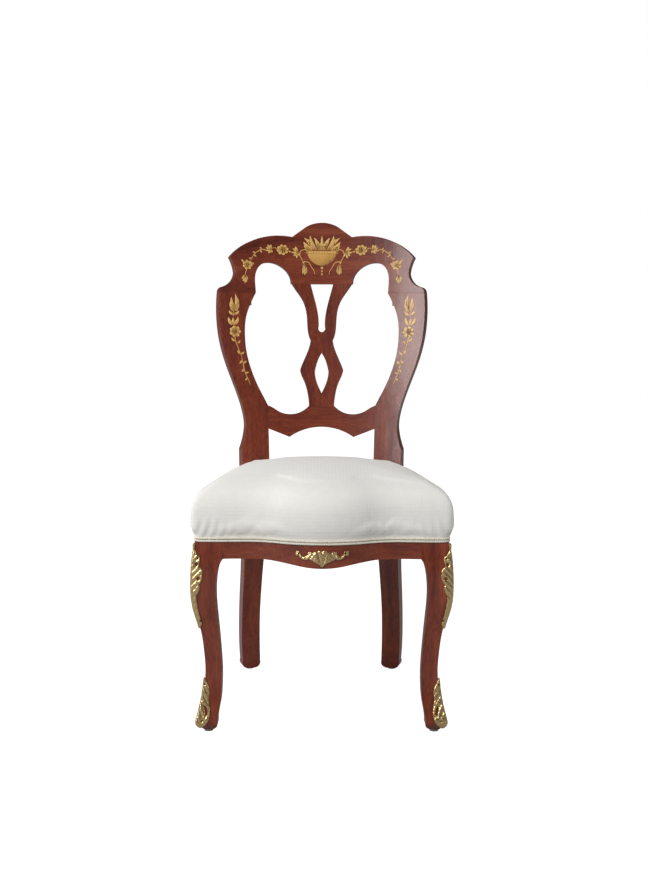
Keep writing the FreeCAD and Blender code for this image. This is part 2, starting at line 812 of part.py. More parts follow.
def stem(start, middle, end, width=1.4):
    """Thin sickle that bends through middle."""
    chord = math.hypot(end[0] - start[0], end[1] - start[1])
    normal = ((end[1] - start[1]) / chord * width / 2, (start[0] - end[0]) / chord * width / 2)
    one = (middle[0] + normal[0], middle[1] + normal[1])
    other = (middle[0] - normal[0], middle[1] - normal[1])
    return closed(path(start, [one, end], [other, start]))


def flower(centre, radius, petals):
    """Round flower head with scalloped petals."""
    steps = []
    for i in range(petals):
        start = 360.0 / petals * i
        steps.append([turned(centre, radius, start + 180.0 / petals), turned(centre, 0.8 * radius, start + 360.0 / petals)])
    return closed(path(turned(centre, 0.8 * radius, 0), *steps))


def urn_motif():
    """Gadrooned urn with its rim, a bouquet and a drop, on the crest's middle."""
    rim = crest_joint + 95.0
    return [
        symmetric(path((0, rim), [(30.5, rim)], [(29.5, rim - 6.0)], [(0, rim - 6.0)])),
        symmetric(path((0, rim - 6.8), [(28.5, rim - 6.8)], [(17.5, rim - 26.0), (0, rim - 34.0)])),
        leaf((0, rim - 36.0), 18.0, 5.0, 180),
        leaf((0, rim + 1.0), 32.0, 11.0, 0),
    ]


def crest_side_motif():
    """Bouquet, handle, tassel and flower garland on the +X half of the crest."""
    rim = crest_joint + 95.0
    return [
        leaf((9.0, rim + 1.0), 35.0, 12.0, 27),
        leaf((16.5, rim + 1.0), 26.0, 10.0, 55),
        stem((32.5, rim - 5.5), (44.5, rim - 9.0), (37.0, rim - 25.0), 3.0),
        leaf((36.2, rim - 27.0), 27.0, 8.0, 173),
        stem((35.0, rim - 25.8), (24.5, rim - 31.5), (14.0, rim - 52.0), 2.4),
        leaf((47.0, rim - 3.0), 18.0, 9.0, 60),
        flower((78.0, rim + 0.5), 13.0, 7),
        stem((92.0, rim + 3.5), (96.0, rim + 4.0), (99.5, rim + 1.5), 2.4),
        leaf((100.0, rim), 17.0, 9.0, 75),
        stem((118.5, rim - 4.0), (131.0, rim - 7.5), (142.0, rim - 22.0), 2.4),
        flower((150.5, rim - 34.0), 12.0, 7),
        leaf((155.5, rim - 48.0), 24.0, 8.0, 178),
    ]


def post_motif():
    """Falling spray of leaves, a rose and a vine on the +X post."""
    top = crest_joint - 4.0
    return [
        leaf((182.5, top - 21.0), 21.0, 10.0, -8),
        leaf((184.0, top - 57.0), 34.0, 11.0, -2),
        flower((183.0, top - 81.0), 12.0, 7),
        stem((184.0, top - 94.0), (184.0, top - 108.0), (174.0, top - 131.0), 2.4),
        leaf((173.5, top - 133.0), 15.0, 8.0, 205),
        stem((167.0, top - 148.0), (163.5, top - 170.0), (156.5, top - 190.0), 2.4),
    ]


def inlaid(outlines):
    """Inlay pieces over outlines, on the front face of the back."""
    veneer = layer(-inlay_gap - inlay_thickness, -inlay_gap)
    return [veneer.common(radial_prism(outline)) for outline in outlines]


# The chair

build = {}


def both_sides(solids):
    return [*solids] + [mirrored(solid) for solid in solids]


def pair(name, right):
    build["right_" + name] = right
    build["left_" + name] = mirrored(right)


def make_frame():
    """Wooden frame with its joints."""
    dowel_holes = crest_dowels(fit)
    crest = sawn(crest_outline())
    splat = sawn(splat_outline()).cut(radial_prism(splat_eye()))
    lower_rail = sawn(lower_rail_outline())
    post = sawn(post_outline())

    head_z = (splat_head - 1.0, splat_head + tenon_length)
    foot_z = (splat_foot - tenon_length, splat_foot + 1.0)
    joint_z = (splat_foot - rail_joint_drop + tenon_shoulder, splat_foot + rail_joint_rise - tenon_shoulder)
    for growth in (0.0, fit):
        head_tenons = both_sides([back_tenon(splat_head_tenon, head_z, growth)])
        foot_tenon = back_tenon((-splat_foot_tenon, splat_foot_tenon), foot_z, growth)
        joint_tenons = both_sides(
            [back_tenon((rail_joint_width - 1.0, rail_joint_width + tenon_length), joint_z, growth)]
        )
        if growth:
            crest = crest.cut(head_tenons + both_sides(dowel_holes))
            lower_rail = lower_rail.cut(foot_tenon)
            post = post.cut(joint_tenons[:1] + dowel_holes)
        else:
            splat = splat.fuse(head_tenons + [foot_tenon])
            lower_rail = lower_rail.fuse(joint_tenons)

    front_rail, side_rail, back_rail = seat_rails()
    back_rail = back_rail.cut(both_sides([post]))
    front_tenon, side_front_tenon, side_rear_tenon, back_tenon_solid = rail_tenons(0)
    front_mortise, side_front_mortise, side_rear_mortise, back_mortise = rail_tenons(fit)
    post_blank = post
    post = post.cut([side_rear_mortise, back_mortise])
    leg_blank = sawn_leg()
    leg = leg_blank.cut([front_mortise, side_front_mortise])
    front_rail = front_rail.fuse(both_sides([front_tenon]))
    side_rail = side_rail.fuse([side_front_tenon, side_rear_tenon])
    back_rail = back_rail.fuse(both_sides([back_tenon_solid]))

    above = (show_wood_top, rail_top + rebate)
    shoulder = plan_prism(-4 * rebate, *above).cut(plan_prism(rebate, *above, soft_corners=True))
    pilots = block_screws(screw_hole)
    front_glide_nail, rear_glide_nail = glides(fit)
    front_block, rear_block = corner_blocks()

    build["crest_rail"] = crest
    build["lyre_splat"] = splat
    build["lower_back_rail"] = lower_rail
    pair("back_post", post.cut(rear_glide_nail))
    pair("front_leg", leg.cut([shoulder, front_glide_nail]))
    build["front_seat_rail"] = front_rail.cut([shoulder] + both_sides([pilots[0]]))
    pair("seat_rail", side_rail.cut([shoulder, pilots[1], pilots[3]]))
    build["back_seat_rail"] = back_rail.cut([shoulder] + both_sides([pilots[2]]))
    pair("front_corner_block", front_block.cut([leg_blank] + pilots[:2]))
    pair("rear_corner_block", rear_block.cut([post_blank] + pilots[2:]))
    build["corner_block_screws"] = Part.Compound(both_sides(block_screws(screw)))
    build["crest_dowels"] = Part.Compound(both_sides(crest_dowels()))
    build["foot_glides"] = Part.Compound(both_sides(glides()))


def make_seat():
    """Webbing, cloths, stuffing, cover and braid."""
    posts = both_posts_room()
    build["webbing_lengthwise"] = Part.Compound(lengthwise_webbing())
    build["webbing_crosswise"] = Part.Compound(crosswise_webbing())

    cloth = plan_prism(cloth_margin, webbing_top + soft_gap, webbing_top + soft_gap + cloth_thickness)
    build["seat_base_cloth"] = cloth.cut(posts)

    skirt = show_wood_top + skirt_lift
    room = 2 * front_half_width
    filling = seat_form(cover_thickness + soft_gap).cut(block((-room, room), (-room, room), (0, skirt)))
    frame_room = plan_prism(rebate - soft_gap, skirt, stuffing_bottom, True)
    build["seat_stuffing"] = open_below(filling, frame_room).cut(posts)
    build["seat_cover"] = open_below(seat_form(0), seat_form(cover_thickness)).cut(posts)

    low = show_wood_top + soft_gap
    braid_inner = rebate - cover_thickness - 2 * soft_gap
    braid = plan_prism(braid_inner - gimp_thickness, low, low + gimp_height, True)
    build["gimp_braid"] = braid.cut([plan_prism(braid_inner, low, low + gimp_height, True), posts])

    below = rail_bottom - soft_gap
    sheet = plan_prism(cloth_margin, below - cloth_thickness, below)
    front_edge = front_rail_inner_y + soft_gap
    heads = block((head_inner - cloth_margin, 2 * front_half_width), (2 * front_face_y, head_back_y + cloth_margin),
                  (below - 2.0, rail_bottom))
    front_strip = block((-front_half_width, front_half_width), (2 * front_face_y, front_edge), (below - 2.0, rail_bottom))
    build["dust_cover"] = sheet.cut([front_strip, posts] + both_sides([heads]))


def make_mounts():
    """Brass mounts and their pins."""
    leg = build["right_front_leg"]
    skin = sawn_leg(mount_thickness).cut(leg)
    knee = skin.common(two_face(knee_region()))
    foot = skin.common(two_face(foot_region()))
    rail = rail_mount()
    top = show_wood_top
    spots = [
        ("knee", knee, front_half_width - 6.0, top - 29.0),
        ("knee", knee, front_half_width - 10.5, top - 150.0),
        ("foot", foot, front_half_width - 16.0, 92.0),
        ("foot", foot, front_half_width - 12.0, 24.0),
        ("rail", rail, 43.0, top - 14.0),
    ]
    pins = []
    holes = {"knee": [], "foot": [], "rail": []}
    for name, mount, x, z in spots:
        pins.append(pin(mount, x, z))
        holes[name].append(pin(mount, x, z, pin_fit))
    build["front_rail_mount"] = rail.cut(both_sides(holes["rail"]))
    pair("knee_mount", knee.cut(holes["knee"]))
    pair("foot_mount", foot.cut(holes["foot"]))
    pair("front_leg", leg.cut(holes["knee"] + holes["foot"]))
    build["front_seat_rail"] = build["front_seat_rail"].cut(both_sides(holes["rail"]))
    build["mount_pins"] = Part.Compound(both_sides(pins))


def make_inlay():
    crest = inlaid(urn_motif()) + both_sides(inlaid(crest_side_motif()))
    build["crest_inlay"] = Part.Compound(crest)
    post = inlaid(post_motif())
    build["right_post_inlay"] = Part.Compound(post)
    build["left_post_inlay"] = Part.Compound([mirrored(solid) for solid in post])


make_frame()
make_seat()
make_mounts()
make_inlay()

os.makedirs("parts", exist_ok=True)
for name, shape in build.items():
    shape.exportStep(f"parts/{name}.step")
    print(name, "solids", len(shape.Solids), "faces", len(shape.Faces), "volume", round(shape.Volume), shape.isValid())
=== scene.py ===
# %% [markdown]
# # A side chair with a lyre back
# The chair is already built as solids, one for each piece of wood, brass and cloth, and packed as one
# frame. This notebook dresses it: it rounds and polishes the wood, lays the marquetry, casts the brass,
# stuffs the seat and twists the braid. Then it sets up the light and the camera of a product picture.
# Lengths are in metres. The front of the chair faces -Y, and +Z is up.

# %% Load the frame
import math

import bmesh
import bpy
import numpy as np
from mathutils import Matrix, Vector, noise
from mathutils.bvhtree import BVHTree
from mathutils.kdtree import KDTree


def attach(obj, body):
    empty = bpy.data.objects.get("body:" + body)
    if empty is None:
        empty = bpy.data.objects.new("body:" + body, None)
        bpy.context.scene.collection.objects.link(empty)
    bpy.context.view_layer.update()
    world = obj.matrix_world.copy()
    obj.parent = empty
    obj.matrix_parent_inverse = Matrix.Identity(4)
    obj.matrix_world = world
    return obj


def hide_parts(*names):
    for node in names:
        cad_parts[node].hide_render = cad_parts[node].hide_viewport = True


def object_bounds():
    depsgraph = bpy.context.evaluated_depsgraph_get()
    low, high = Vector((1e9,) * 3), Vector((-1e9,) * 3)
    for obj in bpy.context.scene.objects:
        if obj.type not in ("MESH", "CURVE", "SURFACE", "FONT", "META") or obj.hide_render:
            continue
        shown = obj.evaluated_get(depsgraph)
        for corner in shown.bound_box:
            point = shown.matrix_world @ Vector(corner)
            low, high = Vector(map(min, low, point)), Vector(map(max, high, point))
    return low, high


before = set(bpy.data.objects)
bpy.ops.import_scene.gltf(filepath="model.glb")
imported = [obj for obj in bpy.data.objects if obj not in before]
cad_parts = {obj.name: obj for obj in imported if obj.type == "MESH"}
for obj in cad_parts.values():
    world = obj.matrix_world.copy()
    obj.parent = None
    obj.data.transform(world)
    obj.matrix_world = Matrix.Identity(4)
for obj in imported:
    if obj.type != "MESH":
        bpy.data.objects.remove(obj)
cad_low, cad_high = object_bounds()
scene = bpy.context.scene
MM = 0.001
print("pieces:", len(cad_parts), "height:", round(cad_high.z, 4))

# %% [markdown]
# ## The camera
# A product picture is taken from well back with a long lens, a little above the seat, so that the legs
# stay upright. The place and the tilt are what the photograph's perspective asks for.

# %% Camera
CAMERA_PLACE = Vector((-0.0116, -2.5704, 0.7603))
CAMERA_TILT_DOWN = math.radians(5.058)
CAMERA_TURN_RIGHT = math.radians(0.357)
CAMERA_ROLL = math.radians(0.2)
CAMERA_LENS = 50.68

camera = bpy.data.objects.new("camera", bpy.data.cameras.new("camera"))
camera.data.sensor_width = 36.0
camera.data.lens = CAMERA_LENS
camera.matrix_world = (
    Matrix.Translation(CAMERA_PLACE)
    @ Matrix.Rotation(-CAMERA_TURN_RIGHT, 4, "Z")
    @ Matrix.Rotation(math.pi / 2 - CAMERA_TILT_DOWN, 4, "X")
    @ Matrix.Rotation(CAMERA_ROLL, 4, "Z")
)
scene.collection.objects.link(camera)
scene.camera = camera
print("camera", round((CAMERA_PLACE - Vector((0, 0, 0.5))).length, 2), "m from the chair")

# %% [markdown]
# ## The room
# A studio for furniture has a pale floor, white walls and one very large soft light. The light stands in
# front of the chair on the left: the hollow back then mirrors it on its right half, which is what gives a
# polished back its pale sheen there.

# %% Floor, walls of light and lamps
scene.view_settings.view_transform = "Standard"
ROOM_WHITE = 1.0
ROOM_AMBIENT = 0.50
ROOM_MIRRORED = 0.07
FLOOR_SIZE = 12.0
FLOOR_GREY = (0.34, 0.34, 0.34, 1)
FLOOR_LIFT = 0.95
WHITE = (1, 1, 1, 1)


def by_ray(tree, kind, plain, special):
    """One value for a kind of ray, such as the camera's own, and another for the rest."""
    path = tree.nodes.new("ShaderNodeLightPath")
    choice = tree.nodes.new("ShaderNodeMapRange")
    tree.links.new(path.outputs[kind], choice.inputs["Value"])
    choice.inputs["To Max"].default_value = special
    if isinstance(plain, float):
        choice.inputs["To Min"].default_value = plain
    else:
        tree.links.new(plain, choice.inputs["To Min"])
    return choice.outputs["Result"]


floor_mesh = bpy.data.meshes.new("floor")
bm = bmesh.new()
bmesh.ops.create_grid(bm, x_segments=1, y_segments=1, size=FLOOR_SIZE)
bm.to_mesh(floor_mesh)
bm.free()
floor = bpy.data.objects.new("floor", floor_mesh)
scene.collection.objects.link(floor)

floor_paint = bpy.data.materials.new("floor_paint")
floor_paint.use_nodes = True
floor_shader = floor_paint.node_tree.nodes["Principled BSDF"]
for socket, value in (
    ("Base Color", FLOOR_GREY), ("Roughness", 0.9), ("Specular IOR Level", 0.1), ("Emission Color", WHITE),
):
    floor_shader.inputs[socket].default_value = value
floor_lift = by_ray(floor_paint.node_tree, "Is Camera Ray", 0.0, FLOOR_LIFT)
floor_paint.node_tree.links.new(floor_lift, floor_shader.inputs["Emission Strength"])
floor_mesh.materials.append(floor_paint)

world = bpy.data.worlds.new("studio")
world.use_nodes = True
scene.world = world
background = world.node_tree.nodes["Background"]
background.inputs["Color"].default_value = WHITE
brightness = by_ray(world.node_tree, "Is Camera Ray", ROOM_AMBIENT, ROOM_WHITE)
brightness = by_ray(world.node_tree, "Is Glossy Ray", brightness, ROOM_MIRRORED)
world.node_tree.links.new(brightness, background.inputs["Strength"])

CHAIR_MIDDLE = Vector((0, 0, 0.55))
# Name, place, size in metres and power in watts of each square lamp
LAMPS = (
    ("key_softbox", (-1.75, -2.1, 1.75), 1.5, 46),
    ("left_strip", (-2.2, 0.6, 1.0), 0.8, 16),
    ("right_fill", (2.6, -1.6, 1.6), 1.2, 9),
)
for name, place, size, power in LAMPS:
    lamp = bpy.data.objects.new(name, bpy.data.lights.new(name, "AREA"))
    lamp.data.size = size
    lamp.data.energy = power
    lamp.location = place
    lamp.rotation_euler = (CHAIR_MIDDLE - Vector(place)).to_track_quat("-Z", "Y").to_euler()
    scene.collection.objects.link(lamp)

# %% [markdown]
# ## Finishes
# Each finish is one Principled shader. Patterns are made from noise on the object's own coordinates, so
# they stay on the piece from every side. Wood needs its grain stretched along the plank: rails run
# sideways and legs run upwards, so the same recipe is used with another axis.

# %% Material helpers


def new_finish(name, colour, roughness, metallic=0.0):
    finish = bpy.data.materials.new(name)
    finish.use_nodes = True
    shader = finish.node_tree.nodes["Principled BSDF"]
    shader.inputs["Base Color"].default_value = (*colour, 1)
    shader.inputs["Roughness"].default_value = roughness
    shader.inputs["Metallic"].default_value = metallic
    return finish, shader


def add_node(finish, kind, **sockets):
    """New shader node; each word names an input socket and gives its value."""
    node = finish.node_tree.nodes.new(kind)
    for label, value in sockets.items():
        node.inputs[label.replace("_", " ")].default_value = value
    return node


def link(finish, source, target):
    finish.node_tree.links.new(source, target)


def stretched(finish, stretch, turn=(0, 0, 0)):
    """Object coordinates pressed together by stretch, for a pattern that follows one direction."""
    place = add_node(finish, "ShaderNodeTexCoord")
    mapping = add_node(finish, "ShaderNodeMapping", Scale=stretch, Rotation=turn)
    link(finish, place.outputs["Object"], mapping.inputs["Vector"])
    return mapping.outputs["Vector"]


def ramp(finish, factor, stops):
    """Colour ramp from (place, colour) stops."""
    node = add_node(finish, "ShaderNodeValToRGB")
    elements = node.color_ramp.elements
    while len(elements) < len(stops):
        elements.new(0.5)
    for element, (place, colour) in zip(elements, stops):
        element.position = place
        element.color = (*colour, 1)
    link(finish, factor, node.inputs["Fac"])
    return node.outputs["Color"]


def bumped(finish, shader, height, strength, distance):
    bump = add_node(finish, "ShaderNodeBump", Strength=strength, Distance=distance)
    link(finish, height, bump.inputs["Height"])
    link(finish, bump.outputs["Normal"], shader.inputs["Normal"])


def noise_over(finish, place, **sockets):
    """Noise pattern on the given coordinates."""
    pattern = add_node(finish, "ShaderNodeTexNoise", **sockets)
    link(finish, place, pattern.inputs["Vector"])
    return pattern.outputs["Fac"]


def scaled_sum(finish, source, share, other=0.0):
    """source * share + other, where other is a number or an output."""
    total = add_node(finish, "ShaderNodeMath")
    total.operation = "MULTIPLY_ADD"
    link(finish, source, total.inputs[0])
    total.inputs[1].default_value = share
    if isinstance(other, float):
        total.inputs[2].default_value = other
    else:
        link(finish, other, total.inputs[2])
    return total.outputs["Value"]


def carried(finish, name):
    """Value that each point of the piece carries under this name."""
    attribute = add_node(finish, "ShaderNodeAttribute")
    attribute.attribute_name = name
    return attribute.outputs["Fac"]


def french_polished(shader):
    """Thin clear film of shellac."""
    shader.inputs["Coat Weight"].default_value = 0.7
    shader.inputs["Coat Roughness"].default_value = 0.16


print("helpers ready")

# %% [markdown]
# ## Mahogany
# The frame is red-brown mahogany under French polish: a dark ground with a warm cloudy figure, fine pores
# that run with the grain, and a thin clear film on top that mirrors the room softly.

# %% Mahogany
MAHOGANY_DARK = (0.100, 0.012, 0.0045)
MAHOGANY_MIDDLE = (0.200, 0.030, 0.0095)
MAHOGANY_LIGHT = (0.300, 0.060, 0.020)
GRAIN_STRETCH = 0.055
GRAIN_SHARE = 0.42
CLOUD_SHARE = 0.60
PORE_SHADE = (0.55, 0.5, 0.5)
PORE_STRENGTH = 0.8
COLOUR_A, COLOUR_B, COLOUR_RESULT = 6, 7, 2


def make_mahogany(name, along):
    """Polished mahogany whose grain runs along X, Y or Z."""
    finish, shader = new_finish(name, MAHOGANY_MIDDLE, 0.34)
    squeeze = [1.0, 1.0, 1.0]
    squeeze["XYZ".index(along)] = GRAIN_STRETCH
    place = stretched(finish, squeeze)
    cloud = noise_over(finish, place, Scale=16.0, Detail=3.0, Roughness=0.5, Distortion=1.2)
    grain = noise_over(finish, place, Scale=150.0, Detail=6.0, Roughness=0.62, Distortion=0.4)
    pores = noise_over(finish, place, Scale=700.0, Detail=2.0, Roughness=0.5)
    figure = scaled_sum(finish, grain, GRAIN_SHARE, scaled_sum(finish, cloud, CLOUD_SHARE))
    colour = ramp(finish, figure, [(0.34, MAHOGANY_DARK), (0.50, MAHOGANY_MIDDLE), (0.68, MAHOGANY_LIGHT)])
    tint = add_node(finish, "ShaderNodeMix", Factor=PORE_STRENGTH)
    tint.data_type = "RGBA"
    tint.blend_type = "MULTIPLY"
    link(finish, colour, tint.inputs[COLOUR_A])
    link(finish, ramp(finish, pores, [(0.38, PORE_SHADE), (0.46, (1, 1, 1))]), tint.inputs[COLOUR_B])
    link(finish, tint.outputs[COLOUR_RESULT], shader.inputs["Base Color"])
    shader.inputs["Specular IOR Level"].default_value = 0.45
    french_polished(shader)
    bumped(finish, shader, grain, 0.12, 0.0004)
    return finish


mahogany_upright = make_mahogany("mahogany_upright", "Z")
mahogany_across = make_mahogany("mahogany_across", "X")
mahogany_lengthwise = make_mahogany("mahogany_lengthwise", "Y")
print("mahogany along Z, X and Y")

# %% [markdown]
# ## Satinwood, brass and cloth
# Marquetry leaves are pale satinwood, dipped in hot sand so that one side is scorched brown; the shade
# comes from an attribute that each leaf carries. Cast brass is bright on its heights, and its hollows are
# painted dull brown as shade; it reads an attribute in the same way. The cover is a close cream weave.

# %% Satinwood
SATINWOOD_PALE = (0.92, 0.60, 0.19)
SATINWOOD_WARM = (0.66, 0.34, 0.075)
SATINWOOD_SCORCHED = (0.24, 0.085, 0.018)

satinwood, satinwood_shader = new_finish("satinwood", SATINWOOD_PALE, 0.36)
satin_place = stretched(satinwood, (1.0, 1.0, 0.25))
satin_grain = noise_over(satinwood, satin_place, Scale=260.0, Detail=4.0, Roughness=0.6)
satin_tone = scaled_sum(satinwood, satin_grain, 0.35, carried(satinwood, "scorch"))
satin_stops = [(0.15, SATINWOOD_PALE), (0.60, SATINWOOD_WARM), (1.0, SATINWOOD_SCORCHED)]
satin_colour = ramp(satinwood, satin_tone, satin_stops)
link(satinwood, satin_colour, satinwood_shader.inputs["Base Color"])
french_polished(satinwood_shader)

# %% Gilt brass
BRASS_BRIGHT = (0.93, 0.67, 0.33)
BRASS_HALF_SHADE = (0.56, 0.37, 0.15)
BRASS_HOLLOW_SHADE = (0.10, 0.055, 0.018)

gilt_brass, brass_shader = new_finish("gilt_brass", BRASS_BRIGHT, 0.32, metallic=1.0)
tarnish = noise_over(gilt_brass, stretched(gilt_brass, (1, 1, 1)), Scale=120.0, Detail=5.0, Roughness=0.6)
# Low relief is painted dark as shade in the hollows; the noise adds tarnish on top.
brass_tone = scaled_sum(gilt_brass, tarnish, 0.30, carried(gilt_brass, "relief"))
brass_stops = [(0.12, BRASS_HOLLOW_SHADE), (0.42, BRASS_HALF_SHADE), (0.72, BRASS_BRIGHT)]
brass_colour = ramp(gilt_brass, brass_tone, brass_stops)
link(gilt_brass, brass_colour, brass_shader.inputs["Base Color"])

# %% Cover cloth, braid and hidden cloths
CREAM = (0.86, 0.845, 0.805)
BRAID_CREAM = (0.88, 0.83, 0.72)
JUTE = (0.36, 0.24, 0.12)
JUTE_SHADE = (0.25, 0.16, 0.08)
CAMBRIC_BLACK = (0.016, 0.016, 0.017)
CAMBRIC_SHADE = (0.010, 0.010, 0.011)
HORSEHAIR_BROWN = (0.035, 0.025, 0.02)
THREAD_RELIEF = 0.0004
# The wave texture multiplies its coordinates by this much
WAVE_FACTOR = 20


def shaded(colour, share):
    return tuple(share * c for c in colour)


def make_weave(name, colour, shade, roughness, threads, depth):
    """Plain weave: waves along the three axes give the threads, and noise makes them uneven."""
    finish, shader = new_finish(name, colour, roughness)
    shader.inputs["Specular IOR Level"].default_value = 0.2
    shader.inputs["Sheen Weight"].default_value = 0.15
    place = stretched(finish, (1, 1, 1))
    scale = threads / WAVE_FACTOR
    total = 0.0
    for axis in "XYZ":
        wave = add_node(finish, "ShaderNodeTexWave", Scale=scale, Distortion=0.6, Detail=1.0)
        wave.bands_direction = axis
        link(finish, place, wave.inputs["Vector"])
        total = scaled_sum(finish, wave.outputs["Fac"], 1.0, total)
    slub = noise_over(finish, place, Scale=60.0, Detail=5.0, Roughness=0.55)
    link(finish, ramp(finish, slub, [(0.3, shade), (0.7, colour)]), shader.inputs["Base Color"])
    bumped(finish, shader, total, depth, THREAD_RELIEF)
    return finish


cream_cloth = make_weave("cream_cloth", CREAM, shaded(CREAM, 0.965), 0.85, 900.0, 0.25)
gimp_cord = make_weave("gimp_cord", BRAID_CREAM, shaded(BRAID_CREAM, 0.9), 0.8, 1600.0, 0.3)
jute = make_weave("jute", JUTE, JUTE_SHADE, 0.95, 400.0, 0.6)
black_cambric = make_weave("black_cambric", CAMBRIC_BLACK, CAMBRIC_SHADE, 0.9, 900.0, 0.3)
horsehair, _ = new_finish("horsehair", HORSEHAIR_BROWN, 0.95)

# %% Steel and beech
STEEL_GREY = (0.45, 0.45, 0.46)
BEECH_DARK = (0.40, 0.23, 0.11)
BEECH_MIDDLE = (0.50, 0.31, 0.16)
BEECH_LIGHT = (0.56, 0.36, 0.19)

steel, _ = new_finish("steel", STEEL_GREY, 0.38, metallic=1.0)
beech, beech_shader = new_finish("beech", BEECH_MIDDLE, 0.6)
beech_grain = noise_over(beech, stretched(beech, (0.1, 1.0, 1.0)), Scale=180.0, Detail=4.0, Roughness=0.55)
beech_colour = ramp(beech, beech_grain, [(0.3, BEECH_DARK), (0.7, BEECH_LIGHT)])
link(beech, beech_colour, beech_shader.inputs["Base Color"])
print("finishes:", len(bpy.data.materials))

# %% [markdown]
# ## The curved back
# The posts, the crest, the splat and the lower rail are sawn from one shell that is hollow in plan, leans
# back above the seat and rakes back below it. The same few sizes tell where its front and rear faces are
# at any height, so that the dressed wood can be made truly round and the marquetry can lie on it.

# %% Faces of the shell
SWEEP_RADIUS = 620.0 * MM
SWEEP_AXIS_Y = -449.0 * MM
BEND_LEVEL = 380.0 * MM
LEAN_LEVEL = 440.0 * MM
LEAN = math.radians(9.66)
FRONT_RAKE = 60.0 * MM
POST_THICKNESS = 38.0 * MM
FOOT_THICKNESS = 30.0 * MM
BACK_THICKNESS = 26.0 * MM


def face_radius(z, radius, rake, lean_level):
    """Plan radius of one face of the shell: raked foot, bend, then a straight lean."""
    if z < BEND_LEVEL:
        curve = (rake**2 + BEND_LEVEL**2) / (2 * rake)
        return radius + curve - math.sqrt(curve**2 - (BEND_LEVEL - z) ** 2)
    reach = lean_level - BEND_LEVEL
    if z < lean_level + reach * math.cos(LEAN):
        curve = reach / math.tan(LEAN / 2)
        return radius + curve - math.sqrt(curve**2 - (z - BEND_LEVEL) ** 2)
    return radius + (z - lean_level) * math.tan(LEAN)


def front_radius(z):
    return face_radius(z, SWEEP_RADIUS, FRONT_RAKE, LEAN_LEVEL)


def rear_radius(z):
    rake = FRONT_RAKE + FOOT_THICKNESS - POST_THICKNESS
    level = LEAN_LEVEL + (POST_THICKNESS - BACK_THICKNESS) / math.tan(LEAN)
    return face_radius(z, SWEEP_RADIUS + POST_THICKNESS, rake, level)


def outward(place):
    """Unit direction from the sweep axis to a place, in plan."""
    return Vector((place.x, place.y - SWEEP_AXIS_Y, 0)).normalized()


print("back at the top:", round(SWEEP_AXIS_Y + rear_radius(cad_high.z), 4))

# %% [markdown]
# ## Planed and rounded wood
# A solid from the CAD has knife-sharp arrises. A joiner softens them with a few strokes, and that thin
# round is what catches the light. Each piece is copied, its loose triangles are merged, and its sharp
# edges are bevelled. The curved faces of the back are then cut into narrow staves and pushed out to the
# true curve, so that their reflections run smoothly.

# %% Wood helpers
ARRIS_ANGLE = math.radians(38)
STAVE_TURN = math.radians(1.6)
STAVE_HEIGHT = 22 * MM
WELD = 0.01 * MM
CUT_SNAP = 0.002 * MM
FLAT_ANGLE = math.radians(0.3)
# Least share of a broad face's normal along the sweep's radius
FACING_SHARE = 0.93
SHELL_TOLERANCE = 1.2 * MM


def merged_copy(node):
    """The node's mesh with its triangles joined and its flat faces whole."""
    bm = bmesh.new()
    bm.from_mesh(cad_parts[node].data)
    bmesh.ops.remove_doubles(bm, verts=bm.verts, dist=WELD)
    bmesh.ops.dissolve_limit(bm, angle_limit=FLAT_ANGLE, verts=bm.verts, edges=bm.edges)
    return bm


def edges_sharper_than(bm, angle):
    return [e for e in bm.edges if len(e.link_faces) == 2 and e.calc_face_angle() > angle]


def round_arrises(bm, width):
    sharp = edges_sharper_than(bm, ARRIS_ANGLE)
    bmesh.ops.bevel(
        bm, geom=sharp, offset=width, offset_type="OFFSET", segments=3, profile=0.5,
        affect="EDGES", clamp_overlap=True, material=-1,
    )


def cut_all(bm, place, normal):
    """Scores the whole piece along a plane."""
    everything = bm.verts[:] + bm.edges[:] + bm.faces[:]
    bmesh.ops.bisect_plane(bm, geom=everything, dist=CUT_SNAP, plane_co=place, plane_no=normal)


def true_to_shell(bm):
    """Cuts the piece into staves and sets the inner points of both broad faces on the shell's faces."""
    heights = [v.co.z / STAVE_HEIGHT for v in bm.verts]
    turns = [math.atan2(v.co.x, v.co.y - SWEEP_AXIS_Y) / STAVE_TURN for v in bm.verts]
    for i in range(math.ceil(min(turns)), math.floor(max(turns)) + 1):
        turn = i * STAVE_TURN
        cut_all(bm, (0, SWEEP_AXIS_Y, 0), (math.cos(turn), -math.sin(turn), 0))
    for i in range(math.ceil(min(heights)), math.floor(max(heights)) + 1):
        cut_all(bm, (0, 0, i * STAVE_HEIGHT), (0, 0, 1))
    bm.normal_update()
    moved = 0
    for v in bm.verts:
        facing = [f.normal.dot(outward(v.co)) for f in v.link_faces]
        if not facing or min(abs(share) for share in facing) < FACING_SHARE:
            continue
        radius = math.hypot(v.co.x, v.co.y - SWEEP_AXIS_Y)
        true_radius = front_radius(v.co.z) if facing[0] < 0 else rear_radius(v.co.z)
        if abs(radius - true_radius) < SHELL_TOLERANCE:
            v.co += outward(v.co) * (true_radius - radius)
            moved += 1
    return moved


def store_smooth(bm, mesh):
    """Ends the editing: the form becomes the mesh, shaded smoothly."""
    for face in bm.faces:
        face.smooth = True
    bm.to_mesh(mesh)
    bm.free()


def new_piece(name, bm, finish, slot_name, *nodes):
    """Object that rides on the chair and takes the place of CAD nodes."""
    mesh = bpy.data.meshes.new(name)
    store_smooth(bm, mesh)
    mesh.materials.append(finish)
    piece = bpy.data.objects.new(name, mesh)
    scene.collection.objects.link(piece)
    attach(piece, "root")
    if nodes:
        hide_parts(*nodes)
    return piece


def keep_flats_flat(piece):
    """Weighs the shading by face area, so that a bevel doesn't shade the flat beside it."""
    weighted = piece.modifiers.new("flats", "WEIGHTED_NORMAL")
    weighted.weight = 80
    weighted.keep_sharp = True


